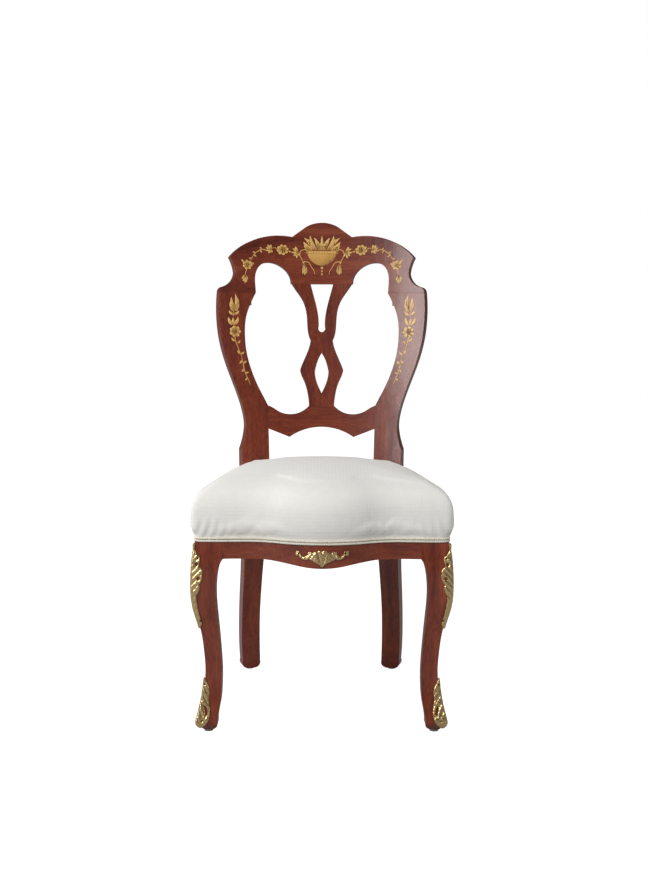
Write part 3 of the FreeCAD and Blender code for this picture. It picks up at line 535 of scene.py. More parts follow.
def dress_wood(node, finish, width, curved=False):
    """Copy of a wooden piece with round arrises, width wide, in place of the solid."""
    bm = merged_copy(node)
    round_arrises(bm, width)
    moved = true_to_shell(bm) if curved else 0
    print(node, "faces", len(bm.faces), "set true", moved)
    piece = new_piece(node + "_wood", bm, finish, "mahogany", node)
    keep_flats_flat(piece)
    return piece


print("rounding above", round(math.degrees(ARRIS_ANGLE)), "degrees")

# %% Wood of the back
wood = {}
for node, finish, width in (
    ("crest_rail", mahogany_across, 1.4 * MM),
    ("lyre_splat", mahogany_upright, 1.2 * MM),
    ("lower_back_rail", mahogany_across, 1.2 * MM),
    ("left_back_post", mahogany_upright, 1.6 * MM),
    ("right_back_post", mahogany_upright, 1.6 * MM),
):
    wood[node] = dress_wood(node, finish, width, curved=True)

# %% Wood of the seat frame and the front legs
for node, finish, width in (
    ("left_front_leg", mahogany_upright, 2.2 * MM),
    ("right_front_leg", mahogany_upright, 2.2 * MM),
    ("front_seat_rail", mahogany_across, 0.8 * MM),
    ("left_seat_rail", mahogany_lengthwise, 0.8 * MM),
    ("right_seat_rail", mahogany_lengthwise, 0.8 * MM),
    ("back_seat_rail", mahogany_across, 0.8 * MM),
):
    wood[node] = dress_wood(node, finish, width)

# %% Hidden pieces keep their solids and get their finish
CORNER_BLOCKS = [f"{side}_{end}_corner_block" for side in ("left", "right") for end in ("front", "rear")]
HIDDEN_FINISHES = {
    beech: CORNER_BLOCKS + ["crest_dowels"],
    steel: ["corner_block_screws", "foot_glides"],
    jute: ["webbing_lengthwise", "webbing_crosswise", "seat_base_cloth"],
    horsehair: ["seat_stuffing"],
    black_cambric: ["dust_cover"],
    gilt_brass: ["mount_pins"],
}
for finish, nodes in HIDDEN_FINISHES.items():
    for node in nodes:
        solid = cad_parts[node]
        solid.data.materials.clear()
        solid.data.materials.append(finish)
print("plain pieces:", sum(len(nodes) for nodes in HIDDEN_FINISHES.values()))

# %% [markdown]
# ## Marquetry
# Each leaf, petal and tendril is a thin piece of veneer. It starts as a small flat grid that is pinched to
# a leaf's outline in the flat pattern of the back, where X is the width and Z the height in millimetres.
# Then every point is carried onto the polished wood along the ray from the sweep axis, and the sheet gets
# a hair's thickness.

# %% Veneer helpers
VENEER_LIFT = 0.12 * MM
VENEER_THICKNESS = 0.25 * MM
VENEER_WELD = 0.01
STRIP_ROWS = 10
STRIP_COLUMNS = 4
SAND_BROWN = 0.55
LEAF_BELLY = 0.8
LEAF_FULLNESS = 0.85
PETAL_ROOT = 0.15
PETAL_FULLNESS = 1.9
INNER_PETAL = 0.5
INNER_PETAL_WIDTH = 0.36
TENDRIL_TAPER = 0.55


class Veneer:
    """Flat drawing of one piece of marquetry, built up leaf by leaf."""

    def __init__(self):
        self.bm = bmesh.new()
        self.scorch = self.bm.verts.layers.float.new("scorch")

    def strip(self, line, half_width, scorched, both_sides=True, columns=STRIP_COLUMNS):
        """Grid bent along line(t), half_width(t) wide on each side; scorched(t, s) gives the shade."""
        for side in (1, -1) if both_sides else (1,):
            grid = bmesh.ops.create_grid(self.bm, x_segments=columns, y_segments=STRIP_ROWS, size=0.5)
            for v in grid["verts"]:
                s, t = 2 * v.co.x, v.co.y + 0.5
                x, z = line(t)
                ahead = line(min(t + 0.01, 1.0))
                behind = line(max(t - 0.01, 0.0))
                along = Vector((ahead[0] - behind[0], ahead[1] - behind[1])).normalized()
                across = half_width(t) * s
                v.co = Vector((side * (x + along.y * across), 0, z - along.x * across))
                v[self.scorch] = scorched(t, s)

    def leaf(self, root, tip, width, bend=0.0, dark=SAND_BROWN, both_sides=True):
        """Pointed leaf from root to tip; bend moves its middle sideways as a share of its length."""
        dx, dz = tip[0] - root[0], tip[1] - root[1]

        def line(t):
            arc = 4 * bend * t * (1 - t)
            return root[0] + dx * t + dz * arc, root[1] + dz * t - dx * arc

        def half_width(t):
            if not 0 < t < 1:
                return 0.0
            return 0.5 * width * math.sin(math.pi * t**LEAF_BELLY) ** LEAF_FULLNESS

        def scorched(t, s):
            vein = 0.35 if abs(s) < 0.1 else 0.0
            return dark * (0.75 * (1 - t) ** 2 + 0.65 * max(0.0, s) ** 2) + vein

        self.strip(line, half_width, scorched, both_sides)

    def fan(self, root, tips, width, bend, dark=SAND_BROWN):
        """Leaves that spread from one point."""
        for tip in tips:
            self.leaf(root, tip, width, bend, dark)

    def tendril(self, points, width, both_sides=True):
        """Thin curling stem through three or more points, tapered towards its end."""
        count = len(points) - 1

        def line(t):
            place = min(int(t * count), count - 1)
            u = t * count - place
            p = [points[max(0, min(count, place + k))] for k in (-1, 0, 1, 2)]
            return tuple(
                0.5 * (2 * p[1][i] + (p[2][i] - p[0][i]) * u
                       + (2 * p[0][i] - 5 * p[1][i] + 4 * p[2][i] - p[3][i]) * u**2
                       + (3 * p[1][i] - p[0][i] - 3 * p[2][i] + p[3][i]) * u**3)
                for i in (0, 1)
            )

        def half_width(t):
            return 0.5 * width * (1 - TENDRIL_TAPER * t)

        self.strip(line, half_width, lambda t, s: 0.15 + 0.3 * abs(s), both_sides)

    def flower(self, middle, radius, petals, turn=0.0, both_sides=True):
        """Ring of broad petals, with short dark ones between them."""

        def at(share, place):
            angle = math.radians(turn + 360.0 * place / petals)
            reach = share * radius
            return middle[0] + reach * math.sin(angle), middle[1] + reach * math.cos(angle)

        width = PETAL_FULLNESS * radius * math.sin(math.pi / petals)
        for i in range(petals):
            self.leaf(at(PETAL_ROOT, i), at(1, i), width, both_sides=both_sides)
        for i in range(petals):
            tip = at(INNER_PETAL, i + 0.5)
            self.leaf(middle, tip, INNER_PETAL_WIDTH * radius, dark=0.7, both_sides=both_sides)

    def lay(self, name, ground, *nodes):
        """Carries the drawing onto the front of a wooden piece and gives it its thickness."""
        bmesh.ops.remove_doubles(self.bm, verts=self.bm.verts, dist=VENEER_WELD)
        surface = BVHTree.FromObject(ground, bpy.context.evaluated_depsgraph_get())
        missed = []
        for v in self.bm.verts:
            turn = math.atan2(v.co.x * MM, SWEEP_RADIUS)
            away = Vector((math.sin(turn), math.cos(turn), 0))
            start = Vector((0, SWEEP_AXIS_Y, v.co.z * MM)) + away * 0.5 * SWEEP_RADIUS
            hit, _, _, _ = surface.ray_cast(start, away)
            if hit is None:
                missed.append(v)
            else:
                v.co = hit - away * VENEER_LIFT
        bmesh.ops.delete(self.bm, geom=missed, context="VERTS")
        self.bm.normal_update()
        back_facing = [f for f in self.bm.faces if f.normal.dot(outward(f.calc_center_median())) > 0]
        bmesh.ops.reverse_faces(self.bm, faces=back_facing)
        piece = new_piece(name, self.bm, satinwood, "satinwood", *nodes)
        thickness = piece.modifiers.new("thickness", "SOLIDIFY")
        thickness.thickness = VENEER_THICKNESS
        thickness.offset = 1.0
        print(name, "faces", len(piece.data.polygons), "missed", len(missed))


print("veneer ready")

# %% [markdown]
# The crest carries an urn with looped handles and tassels, full of leaves, and a garland of flowers that
# runs out along both shoulders. The drawing below is one half; the other half is its mirror image.

# %% Urn of the crest
crest_veneer = Veneer()
URN_RIM = 945.0
URN_FOOT = 911.0
URN_HALF_WIDTH = 29.5
URN_COLUMNS = 33
RIM_FOOT = URN_RIM - 6.4
RIM_DEPTH = 5.4
RIM_GAP = 0.6


def urn_width(t):
    """Half width of the urn from its foot to its rim."""
    return 3.0 + (URN_HALF_WIDTH - 4.5) * math.sin(0.5 * math.pi * t) ** 0.62


def gadroons(t, s):
    """Dark furrows that fan out from the foot."""
    furrow = 0.5 - 0.5 * math.cos(16 * math.pi * s)
    return 0.15 + 0.35 * furrow + 0.25 * (1 - t) + 0.2 * max(0.0, s)


def bowl_line(t):
    return 0, URN_FOOT + (RIM_FOOT - RIM_GAP - URN_FOOT) * t


def rim_line(t):
    return 0, RIM_FOOT + RIM_DEPTH * t


def rim_width(t):
    return URN_HALF_WIDTH + 1.2 * math.sin(math.pi * t)


def rim_beads(t, s):
    """Row of dark beads above a pale edge."""
    return 0.1 + 0.55 * (0.5 - 0.5 * math.cos(22 * math.pi * s)) * (t > 0.3)


crest_veneer.strip(bowl_line, urn_width, gadroons, both_sides=False, columns=URN_COLUMNS)
crest_veneer.strip(rim_line, rim_width, rim_beads, both_sides=False, columns=URN_COLUMNS)
for root_z, tip_z, width in (
    (909.5, 902.5, 5.0), (901.0, 896.0, 3.4), (895.5, 888.5, 3.0), (944.0, 979.0, 5.5),
):
    crest_veneer.leaf((0, root_z), (0, tip_z), width, both_sides=False)
print("urn faces", len(crest_veneer.bm.faces))

# %% Leaves in the urn, handles and tassels
for root_x, tip, width, bend in (
    (3.0, (9.5, 963.0), 6.0, 0.05),
    (6.0, (16.0, 974.0), 7.5, -0.08),
    (9.0, (23.0, 979.5), 6.5, 0.10),
    (11.0, (26.5, 971.0), 7.5, 0.06),
    (14.0, (35.5, 973.5), 7.0, -0.06),
    (17.0, (36.5, 965.0), 7.5, 0.08),
    (20.0, (35.5, 957.0), 6.5, 0.10),
    (23.0, (33.5, 950.0), 5.0, 0.10),
):
    crest_veneer.leaf((root_x, URN_RIM), tip, width, bend)
crest_veneer.leaf((2.0, 946.0), (3.5, 962.0), 3.6)
crest_veneer.tendril([
    (31.5, 939.0), (28.6, 941.5), (30.5, 945.6), (36.5, 946.8), (42.3, 943.0), (43.8, 936.0), (41.0, 927.5),
    (36.8, 919.5),
], 2.5)
crest_veneer.leaf((31.8, 938.0), (27.8, 940.8), 3.2, 0.2)
crest_veneer.leaf((37.2, 921.5), (36.0, 915.0), 4.2)
crest_veneer.fan((36.0, 916.0), [(38.5, 891.5), (35.3, 889.0), (32.2, 890.5), (29.8, 894.5)], 4.4, 0.04, 0.7)
crest_veneer.tendril(
    [(36.5, 919.5), (30.5, 919.6), (25.5, 917.0), (20.5, 907.5), (15.5, 899.0), (13.8, 891.5)], 2.0
)

# %% Garland of the crest
for tip, width, bend in (
    ((52.0, 954.0), 6.0, 0.08),
    ((58.5, 949.0), 5.0, -0.06),
    ((60.5, 941.0), 5.0, 0.08),
    ((56.5, 933.0), 5.0, 0.08),
    ((50.0, 926.5), 4.6, -0.05),
    ((43.5, 931.0), 3.6, 0.05),
):
    crest_veneer.leaf((47.5, 940.5), tip, width, bend)
crest_veneer.leaf((60.0, 941.5), (67.0, 944.5), 3.2, 0.1)
crest_veneer.flower((78.0, 946.0), 12.5, 8, 12)
crest_veneer.tendril([(89.5, 947.5), (94.0, 950.5), (100.0, 948.5)], 1.8)
crest_veneer.fan((101.5, 947.0), [(101.0, 958.0), (107.5, 957.5)], 5.0, 0.07)
crest_veneer.fan((101.5, 947.0), [(112.0, 951.5), (112.5, 943.5), (107.0, 937.5)], 4.6, 0.07)
crest_veneer.leaf((101.5, 947.0), (99.5, 938.5), 3.6, 0.07)
crest_veneer.tendril(
    [(111.0, 945.0), (118.0, 946.5), (126.0, 943.5), (134.0, 937.5), (139.5, 930.0), (143.0, 921.5)], 2.2
)
for root, tip in (
    ((119.0, 946.0), (123.0, 951.5)), ((124.0, 944.5), (120.5, 938.5)), ((133.0, 938.5), (138.5, 941.5)),
    ((137.0, 934.0), (131.5, 929.5)), ((141.5, 925.5), (147.0, 927.5)),
):
    crest_veneer.leaf(root, tip, 3.0, 0.08)
crest_veneer.flower((150.8, 911.5), 11.0, 7, 8)
crest_veneer.leaf((143.0, 915.5), (137.0, 913.5), 4.0, 0.05)
crest_veneer.leaf((158.0, 918.0), (163.5, 923.5), 4.0, 0.05)
crest_veneer.tendril([(152.5, 901.5), (154.8, 896.0), (156.0, 888.5)], 2.0)
bell_tips = [(151.0, 878.0), (154.0, 872.0), (157.8, 870.0), (161.5, 873.5), (164.0, 880.0)]
crest_veneer.fan((156.5, 889.5), bell_tips, 4.4, 0.03, 0.65)
crest_veneer.lay("crest_marquetry", wood["crest_rail"], "crest_inlay")

# %% [markdown]
# Below, each post carries a hanging spray of leaves, a pair of leaves with a bud, a rose, and a vine that
# runs out to a thin end.

# %% Marquetry of the posts


def draw_post_veneer(side):
    """Spray, leaves with a bud, rose and vine; side is 1 for the right post and -1 for the left."""
    veneer = Veneer()

    def at(x, z):
        return side * x, z

    for root, tip, width, bend in (
        ((182.5, 812.0), (179.5, 847.5), 6.0, -0.10),
        ((182.5, 816.0), (188.0, 840.0), 6.4, 0.10),
        ((182.0, 816.0), (174.5, 838.0), 6.6, -0.12),
        ((182.5, 812.0), (191.5, 829.5), 6.8, 0.14),
        ((182.0, 812.0), (173.0, 827.5), 6.8, -0.14),
        ((183.0, 810.0), (191.0, 818.5), 5.0, 0.16),
        ((183.0, 810.0), (174.5, 817.0), 5.0, -0.16),
        ((184.0, 801.5), (172.5, 810.0), 6.2, -0.14),
        ((185.0, 801.5), (195.0, 810.5), 6.2, 0.14),
        ((185.5, 778.5), (175.5, 796.0), 7.6, -0.14),
        ((186.5, 778.5), (186.3, 795.0), 6.0, 0.0),
        ((187.5, 778.5), (196.5, 796.0), 7.6, 0.14),
        ((183.5, 743.0), (191.5, 750.5), 5.0, 0.14),
        ((179.0, 738.0), (172.5, 745.0), 4.2, -0.14),
        ((173.0, 715.0), (178.5, 723.5), 4.6, 0.12),
        ((172.5, 714.0), (164.5, 719.5), 4.2, -0.10),
        ((169.5, 702.0), (176.5, 694.0), 4.4, 0.12),
        ((168.0, 694.0), (160.5, 700.0), 4.2, -0.10),
        ((166.5, 683.0), (172.0, 675.5), 4.0, 0.10),
        ((162.5, 671.5), (155.5, 674.5), 3.6, 0.08),
        ((159.5, 663.0), (165.0, 656.5), 3.6, 0.08),
    ):
        veneer.leaf(at(*root), at(*tip), width, side * bend, both_sides=False)
    veneer.flower(at(183.0, 764.0), 13.5, 7, side * 10, both_sides=False)
    for vine in (
        [(185.5, 811.0), (184.5, 803.5), (185.8, 797.0)],
        [(186.0, 780.5), (185.0, 777.0), (184.0, 775.0)],
        [(184.0, 754.5), (182.5, 742.0), (177.5, 727.0), (171.0, 710.0), (168.0, 693.0)],
        [(168.0, 693.0), (165.5, 679.5), (160.5, 665.5), (156.0, 655.0), (153.5, 647.0)],
    ):
        veneer.tendril([at(*point) for point in vine], 2.0, both_sides=False)
    return veneer


draw_post_veneer(1).lay("right_post_marquetry", wood["right_back_post"], "right_post_inlay")
draw_post_veneer(-1).lay("left_post_marquetry", wood["left_back_post"], "left_post_inlay")

# %% [markdown]
# ## Cast brass
# The mounts are cast with leaf ribs and then chased and gilt. The CAD plate is turned into an even skin of
# small faces by a voxel remesh. Each point of its outer side then rises by a height that is low at the
# outline, and furrowed by a pattern of ribs. The height is kept as the attribute that the finish reads.

# %% Brass helpers
CAST_VOXEL = 0.75 * MM
CAST_RISE = 2.4 * MM
# This share of the relief neither rises nor sinks
CAST_LEVEL = 0.45
PILLOW_WIDTH = 3.2 * MM
CHASING_SIZE = 3.2 * MM
OUTLINE_ANGLE = math.radians(50)
# A point of the plate belongs to its outer side from this distance above the wood
OUTER_SIDE_GAP = 1.6 * MM
GROUND_SHARE = 0.25
RIB_SHARE = 0.50
CHASING_SHARE = 0.35
# Value on the brass ramp for the side against the wood, which the finish paints dark as shade
INNER_SIDE_TONE = 0.3


def carry_out(piece):
    """Turns the piece's modifiers into its mesh."""
    graph = bpy.context.evaluated_depsgraph_get()
    finished = bpy.data.meshes.new_from_object(piece.evaluated_get(graph))
    piece.modifiers.clear()
    piece.data = finished


def even_skin(piece, voxel_size):
    """Gives the piece a skin of small faces of one size."""
    skin = piece.modifiers.new("skin", "REMESH")
    skin.mode = "VOXEL"
    skin.voxel_size = voxel_size
    skin.use_smooth_shade = True
    carry_out(piece)


def soften(bm, factor):
    bmesh.ops.smooth_vert(
        bm, verts=bm.verts, factor=factor, use_axis_x=True, use_axis_y=True, use_axis_z=True
    )


def rib(phase):
    """Round rib with a sharp furrow beside it."""
    return abs(math.sin(math.pi * phase)) ** 0.6


def chased(place):
    """Small uneven hollows, as a punch leaves them between the ribs."""
    return 0.5 + 0.5 * noise.noise(place / CHASING_SIZE)


def outline_marks(bm):
    """Search tree of points, a millimetre apart, along the plate's sharp edges."""
    marks = []
    for e in edges_sharper_than(bm, OUTLINE_ANGLE):
        steps = max(1, int(e.calc_length() / MM))
        marks += [e.verts[0].co.lerp(e.verts[1].co, i / steps) for i in range(steps + 1)]
    tree = KDTree(len(marks))
    for i, mark in enumerate(marks):
        tree.insert(mark, i)
    tree.balance()
    return tree


def cast_mount(node, under, ribs):
    """Chased casting in place of a brass plate; ribs(place) gives the share of the relief from 0 to 1."""
    bm = merged_copy(node)
    outline = outline_marks(bm)
    piece = new_piece(node + "_casting", bm, gilt_brass, "gilt_brass", node)
    even_skin(piece, CAST_VOXEL)
    seat = BVHTree.FromObject(under, bpy.context.evaluated_depsgraph_get())
    bm = bmesh.new()
    bm.from_mesh(piece.data)
    bm.normal_update()
    relief = bm.verts.layers.float.new("relief")
    for v in bm.verts:
        _, _, _, wood_gap = seat.find_nearest(v.co)
        if wood_gap <= OUTER_SIDE_GAP:
            v[relief] = INNER_SIDE_TONE
            continue
        _, _, edge_gap = outline.find(v.co)
        pillow = min(1.0, edge_gap / PILLOW_WIDTH)
        pillow = math.sqrt(1 - (1 - pillow) ** 2)
        height = pillow * (GROUND_SHARE + RIB_SHARE * ribs(v.co) + CHASING_SHARE * chased(v.co))
        # The finish paints low heights dark: painted shade in the hollows and along the outline.
        v[relief] = height
        v.co += v.normal * CAST_RISE * (height - CAST_LEVEL)
    soften(bm, 0.25)
    store_smooth(bm, piece.data)
    print(node, "faces", len(piece.data.polygons))


# %% Knee and foot mounts
FRONT_SETBACK = 6 * MM


def arris_gap(place):
    """Distance from the leg's foremost arris, measured across its face."""
    return abs(abs(place.x) - (-place.y - FRONT_SETBACK))


def leaf_ribs(spine_width, slant, pitch):
    """Ribs that spring from the arris, with a round spine on it."""

    def ribs(place):
        from_arris = arris_gap(place)
        spine = math.exp(-((from_arris / spine_width) ** 2))
        return min(1.0, rib((place.z + slant * from_arris) / pitch) + spine)

    return ribs


for side in ("left", "right"):
    leg = wood[side + "_front_leg"]
    cast_mount(side + "_knee_mount", leg, leaf_ribs(2.2 * MM, -1.1, 13 * MM))
    cast_mount(side + "_foot_mount", leg, leaf_ribs(2.0 * MM, 1.3, 15 * MM))

# %% Rail mount
SHELL_FOOT = 333 * MM
FAN_CENTRE = SHELL_FOOT - 6 * MM
FAN_HALF_WIDTH = 13 * MM
FAN_RIBS = 5.5
ARM_RIB_PITCH = 8 * MM


def shell_ribs(place):
    """A fan of ribs in the middle and leaf ribs along the two arms."""
    if abs(place.x) < FAN_HALF_WIDTH:
        return rib(FAN_RIBS * math.atan2(place.x, place.z - FAN_CENTRE) / math.pi + 0.5)
    return rib((abs(place.x) + 0.8 * (place.z - SHELL_FOOT)) / ARM_RIB_PITCH)


cast_mount("front_rail_mount", wood["front_seat_rail"], shell_ribs)

# %% [markdown]
# ## The seat
# The seat is overstuffed: horsehair on webbing, drawn down over the rails by one tight cover. It starts as
# the outline of the seat frame, extruded upwards ring by ring to a low crown. A voxel remesh gives it an
# even skin, and a short cloth simulation blows it up a little against its fixed lower edge, so that it gets
# the tension of real stuffing. Room for the frame and the two posts is cut out at the end.

# %% Outline of the seat in plan
FRONT_Y = -246.0
BACK_Y = 184.0
HALF_WIDTH = 240.0
BOW_RADIUS = 169.5
BOW_CENTRE_Y = -112.5
HOLLOW_RADIUS = 119.6
HOLLOW_CENTRE = (145.0, -362.6)
BOW_TURN = math.asin(HOLLOW_CENTRE[0] / (BOW_RADIUS + HOLLOW_RADIUS))
FLAT_START = (195.0, FRONT_Y)
CORNER_RADIUS = 14.0
CORNER_CENTRE = (HALF_WIDTH - CORNER_RADIUS, FRONT_Y + CORNER_RADIUS)
SIDE_START = (240.0, -192.6)
SIDE_END = (171.0, 147.0)
SIDE_SWELL = 6.0
OUTLINE_POINTS = 150


def arc(centre, radius, turns):
    """Points of an arc; a turn of 0 points to the front, or to the back where the radius is negative."""
    return [(centre[0] + radius * math.sin(t), centre[1] - radius * math.cos(t)) for t in turns]


def seat_outline(inset):
    """Points of the right half in plan, from the middle of the front to the middle of the back."""
    points = arc((0, BOW_CENTRE_Y), BOW_RADIUS, [BOW_TURN * i / 24 for i in range(25)])
    points += arc(HOLLOW_CENTRE, -HOLLOW_RADIUS, [BOW_TURN * (1 - i / 16) for i in range(1, 17)])
    points.append(FLAT_START)
    points += arc(CORNER_CENTRE, CORNER_RADIUS, [0.5 * math.pi * i / 8 for i in range(9)])
    side_x = SIDE_END[0] - SIDE_START[0]
    side_y = SIDE_END[1] - SIDE_START[1]
    for i in range(41):
        t = i / 40
        swell = 4 * SIDE_SWELL * t * (1 - t)
        points.append((SIDE_START[0] + side_x * t + swell, SIDE_START[1] + side_y * t))
    points.append((SIDE_END[0] + side_x / side_y * (BACK_Y - SIDE_END[1]), BACK_Y))
    points.append((0.0, BACK_Y))
    line = np.array(points)
    gaps = np.r_[0, np.cumsum(np.hypot(*np.diff(line, axis=0).T))]
    even = np.linspace(0, gaps[-1], OUTLINE_POINTS)
    line = np.c_[np.interp(even, gaps, line[:, 0]), np.interp(even, gaps, line[:, 1])]
    run = np.gradient(line, axis=0)
    run /= np.hypot(*run.T)[:, None]
    normal = np.c_[-run[:, 1], run[:, 0]]
    line = line + inset * normal
    line[0, 0] = line[-1, 0] = 0.0
    return [Vector((x * MM, y * MM, 0)) for x, y in line]


def seat_ring(inset):
    """The whole outline, round the chair and back to the front."""
    half = seat_outline(inset)
    return half + [Vector((-p.x, p.y, 0)) for p in reversed(half[1:-1])]


print("outline points:", len(seat_ring(0)))

# %% Rings of the seat
CROWN_CENTRE = Vector((0, -30 * MM, 0))
COVER_BOTTOM = 369 * MM
OVAL_HALF_WIDTH = 236 * MM
OVAL_HALF_DEPTH = 215 * MM
OVAL_SHARE = 0.5
COVER_INSET = 2.0
# Share of the plan's size and level in millimetres of each ring, from the lower edge to the crown
SEAT_RINGS = (
    (1.000, 369.0), (1.001, 376.0), (1.018, 384.0), (1.034, 396.0), (1.042, 411.0), (1.042, 424.0),
    (1.037, 436.0), (1.022, 447.0), (0.998, 457.0), (0.962, 466.5), (0.910, 475.5), (0.840, 483.0),
    (0.750, 489.0), (0.640, 493.5), (0.510, 497.0), (0.360, 500.0), (0.180, 502.0),
)


def soft_step(value, low, high):
    """Soft step from 0 at low to 1 at high."""
    t = min(1.0, max(0.0, (value - low) / (high - low)))
    return t * t * (3 - 2 * t)


def towards_oval(place, share):
    """Draws a point of an upper ring towards an oval, so that no ridge runs from a corner to the crown."""
    reach = place - CROWN_CENTRE
    reach.z = 0
    oval = (reach.x / OVAL_HALF_WIDTH) ** 2 + (reach.y / OVAL_HALF_DEPTH) ** 2
    target = reach * (share / math.sqrt(oval))
    return (target - reach) * OVAL_SHARE * (1 - soft_step(share, 0.75, 1.0))


def seat_body(rings):
    """Closed form that grows upwards from ring to ring."""
    bm = bmesh.new()
    base = [bm.verts.new(p) for p in seat_ring(COVER_INSET)]
    edges = [bm.edges.new((base[i - 1], base[i])) for i in range(len(base))]
    bmesh.ops.contextual_create(bm, geom=edges)
    bmesh.ops.translate(bm, verts=base, vec=(0, 0, rings[0][1] * MM))
    layers = []
    for (last_share, last_level), (share, level) in zip(rings, rings[1:]):
        grown = bmesh.ops.extrude_edge_only(bm, edges=edges)["geom"]
        verts = [g for g in grown if isinstance(g, bmesh.types.BMVert)]
        edges = [g for g in grown if isinstance(g, bmesh.types.BMEdge)]
        ratio = share / last_share
        bmesh.ops.scale(bm, verts=verts, vec=(ratio, ratio, 1), space=Matrix.Translation(-CROWN_CENTRE))
        bmesh.ops.translate(bm, verts=verts, vec=(0, 0, (level - last_level) * MM))
        layers.append((share, verts))
    bmesh.ops.contextual_create(bm, geom=edges)
    for share, verts in layers:
        for v in verts:
            v.co += towards_oval(v.co, share)
    bmesh.ops.recalc_face_normals(bm, faces=bm.faces)
    return bm


seat_cushion = new_piece("seat_cushion", seat_body(SEAT_RINGS), cream_cloth, "cream_cloth", "seat_cover")
print("seat form:", [round(v, 3) for v in seat_cushion.dimensions])

# %% Even skin and stuffing
SEAT_VOXEL = 6.0 * MM
MOVE_CAP = 3.0 * MM
HELD_BELOW = 384 * MM
CLOTH_STEPS = 20

even_skin(seat_cushion, SEAT_VOXEL)
before = np.array([v.co for v in seat_cushion.data.vertices])
held = seat_cushion.vertex_groups.new(name="held")
held.add([i for i, place in enumerate(before) if place[2] < HELD_BELOW], 1.0, "REPLACE")
cloth = seat_cushion.modifiers.new("cloth", "CLOTH")
settings = cloth.settings
settings.quality = 6
settings.mass = 0.3
settings.tension_stiffness = 25
settings.compression_stiffness = 25
settings.bending_stiffness = 1.5
settings.use_pressure = True
settings.uniform_pressure_force = 4.0
settings.vertex_group_mass = "held"
settings.effector_weights.gravity = 0.0
for moment in range(1, CLOTH_STEPS + 1):
    scene.frame_set(moment)
carry_out(seat_cushion)
scene.frame_set(1)
after = np.array([v.co for v in seat_cushion.data.vertices])
outwards = np.array([v.normal for v in seat_cushion.data.vertices])
swell = np.clip(((after - before) * outwards).sum(axis=1), 0.0, MOVE_CAP)
swollen = before + swell[:, None] * outwards
seat_cushion.data.vertices.foreach_set("co", swollen.astype(np.float32).ravel())
print("stuffing swells the skin by up to", round(float(swell.max()), 4))
seat_cushion.vertex_groups.clear()

# %% Soft folds
# The cover is drawn down hardest at the front corners, where short folds run up from the braid.
FOLD_DEPTH = 3.0 * MM
FOLD_PITCH = 17 * MM
FOLD_LEVEL = 392 * MM
FOLD_HEIGHT = 30 * MM
FOLD_REACH = 55 * MM
FRONT_CORNERS = (Vector((-236 * MM, -242 * MM)), Vector((236 * MM, -242 * MM)))
REAR_LIFT = 20 * MM
REAR_ARCH = 0.45


def rear_fullness(place):
    """The rear arches over its middle, and its corners are stuffed up against the posts."""
    back = soft_step(place.y, 0, 140 * MM)
    side = soft_step(abs(place.x), 105 * MM, 170 * MM)
    crown = soft_step(place.z, 415 * MM, 445 * MM)
    return back * (REAR_LIFT * side - REAR_ARCH * place.x**2) * crown


def fold_height(place):
    """Slanting waves round each front corner, deepest a little above the braid."""
    reach = max(0.0, 1 - abs(place.z - FOLD_LEVEL) / FOLD_HEIGHT)
    corner = min((mark - place.xy).length for mark in FRONT_CORNERS)
    near_corner = math.exp(-((corner / FOLD_REACH) ** 2))
    wave = math.sin(2 * math.pi * (abs(place.x) - place.y) / FOLD_PITCH + 40 * place.z)
    return FOLD_DEPTH * reach * near_corner * (0.5 + 0.5 * wave)


bm = bmesh.new()
bm.from_mesh(seat_cushion.data)
bm.normal_update()
soften(bm, 0.5)
bmesh.ops.subdivide_edges(bm, edges=bm.edges, cuts=1, use_grid_fill=True, smooth=0.6)
bm.normal_update()
for v in bm.verts:
    v.co += v.normal * fold_height(v.co)
    v.co.z += rear_fullness(v.co)
store_smooth(bm, seat_cushion.data)
print("seat faces:", len(seat_cushion.data.polygons))

# %% Room for the frame and the posts
FRAME_ROOM_TOP = 414.5 * MM
FRAME_ROOM_FOOT = COVER_BOTTOM - 10 * MM
COVER_THICKNESS = 1.5
ROOM_AROUND_POST = 0.4 * MM


def cut_room(piece, bm, name):
    """Cuts a closed form out of the piece."""
    mesh = bpy.data.meshes.new(name)
    bm.to_mesh(mesh)
    bm.free()
    cutter = bpy.data.objects.new(name, mesh)
    scene.collection.objects.link(cutter)
    room = piece.modifiers.new(name, "BOOLEAN")
    room.operation = "DIFFERENCE"
    room.solver = "EXACT"
    room.object = cutter
    bpy.context.view_layer.update()
    carry_out(piece)
    bpy.data.objects.remove(cutter)


def keep_largest(mesh):
    """Clears the slivers that a cut leaves behind, and returns their number."""
    bm = bmesh.new()
    bm.from_mesh(mesh)
    left = set(bm.verts)
    bodies = []
    while left:
        body = {left.pop()}
        rim = body
        while rim:
            rim = {e.other_vert(v) for v in rim for e in v.link_edges} - body
            body |= rim
        left -= body
        bodies.append(body)
    bodies.sort(key=len)
    bmesh.ops.delete(bm, geom=[v for body in bodies[:-1] for v in body], context="VERTS")
    bm.to_mesh(mesh)
    bm.free()
    return len(bodies) - 1


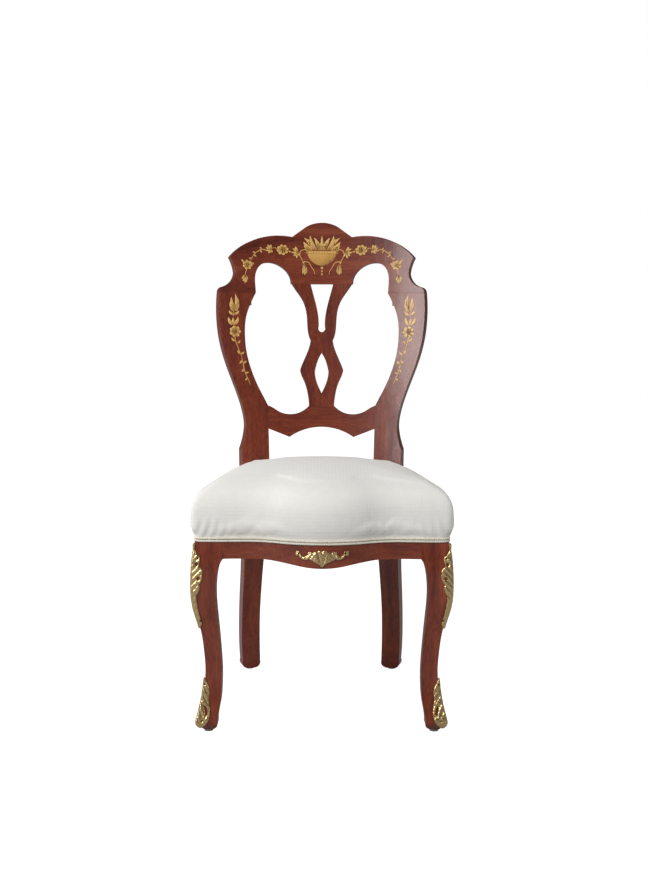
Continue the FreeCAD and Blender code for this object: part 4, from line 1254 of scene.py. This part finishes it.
frame_room = bmesh.new()
base = [frame_room.verts.new(p) for p in seat_ring(COVER_INSET + COVER_THICKNESS)]
floor_face = bmesh.ops.contextual_create(frame_room, geom=base)["faces"]
bmesh.ops.translate(frame_room, verts=base, vec=(0, 0, FRAME_ROOM_FOOT))
raised = bmesh.ops.extrude_face_region(frame_room, geom=floor_face)["geom"]
bmesh.ops.translate(
    frame_room, verts=[g for g in raised if isinstance(g, bmesh.types.BMVert)],
    vec=(0, 0, FRAME_ROOM_TOP - FRAME_ROOM_FOOT),
)
bmesh.ops.recalc_face_normals(frame_room, faces=frame_room.faces)
cut_room(seat_cushion, frame_room, "frame_room")
for node in ("left_back_post", "right_back_post"):
    post_room = merged_copy(node)
    post_room.normal_update()
    for v in post_room.verts:
        v.co += v.normal * ROOM_AROUND_POST
    cut_room(seat_cushion, post_room, node + "_room")
slivers = keep_largest(seat_cushion.data)
print("seat faces after cutting:", len(seat_cushion.data.polygons), "slivers cleared:", slivers)

# %% [markdown]
# ## The braid
# A double cord covers the tacks at the cover's lower edge. Each cord is two strands twisted together, and
# each strand is a curve with a round section that winds round the seat's outline.

# %% Twisted cords
STRAND_RADIUS = 1.45 * MM
TWIST_RADIUS = 1.1 * MM
TWIST_PITCH = 8.0 * MM
POINTS_PER_TURN = 8
CORD_LEVELS = (371.2 * MM, 376.4 * MM)
CORD_OFFSET = -0.5
POST_FACE_Y = 146.0 * MM
BACK_RUN_HALF_WIDTH = 112 * MM
BACK_RUN_Y = (BACK_Y - CORD_OFFSET) * MM
UP = np.array((0, 0, 1))


def even_line(points, step):
    """The same line with points at an even distance."""
    line = np.array(points)
    gaps = np.r_[0, np.cumsum(np.linalg.norm(np.diff(line, axis=0), axis=1))]
    even = np.linspace(0, gaps[-1], max(2, int(gaps[-1] / step)))
    return np.c_[[np.interp(even, gaps, line[:, i]) for i in range(3)]].T


def add_strand(curve, line, phase):
    """One strand that winds round the line."""
    run = np.gradient(line, axis=0)
    run /= np.linalg.norm(run, axis=1)[:, None]
    aside = np.cross(run, UP)
    turns = (2 * math.pi * np.arange(len(line)) / POINTS_PER_TURN + phase)[:, None]
    path = line + TWIST_RADIUS * (np.cos(turns) * aside + np.sin(turns) * UP)
    spline = curve.splines.new("NURBS")
    spline.points.add(len(path) - 1)
    spline.points.foreach_set("co", np.c_[path, np.ones(len(path))].astype(np.float32).ravel())
    spline.order_u = 3
    spline.use_endpoint_u = True


braid_curve = bpy.data.curves.new("gimp_cords", "CURVE")
braid_curve.dimensions = "3D"
braid_curve.bevel_depth = STRAND_RADIUS
braid_curve.bevel_resolution = 1
braid_curve.resolution_u = 1
braid_curve.use_fill_caps = True
half = seat_outline(CORD_OFFSET)
front_half = [p for p in half if p.y < POST_FACE_Y]
front_run = [Vector((-p.x, p.y, 0)) for p in reversed(front_half[1:])] + front_half
back_run = [Vector((x * BACK_RUN_HALF_WIDTH, BACK_RUN_Y, 0)) for x in (1, 0, -1)]
for level in CORD_LEVELS:
    for run in (front_run, back_run):
        line = even_line([(p.x, p.y, level) for p in run], TWIST_PITCH / POINTS_PER_TURN)
        for phase in (0, math.pi):
            add_strand(braid_curve, line, phase)
braid_shape = bpy.data.objects.new("gimp_shape", braid_curve)
scene.collection.objects.link(braid_shape)
bpy.context.view_layer.update()
graph = bpy.context.evaluated_depsgraph_get()
bm = bmesh.new()
bm.from_mesh(bpy.data.meshes.new_from_object(braid_shape.evaluated_get(graph)))
bpy.data.objects.remove(braid_shape)
gimp = new_piece("gimp_cords", bm, gimp_cord, "gimp_cord", "gimp_braid")
print("braid faces:", len(gimp.data.polygons))

# %% Sizes of the solids
print("solids", [round(v, 4) for v in (*cad_low, *cad_high)])
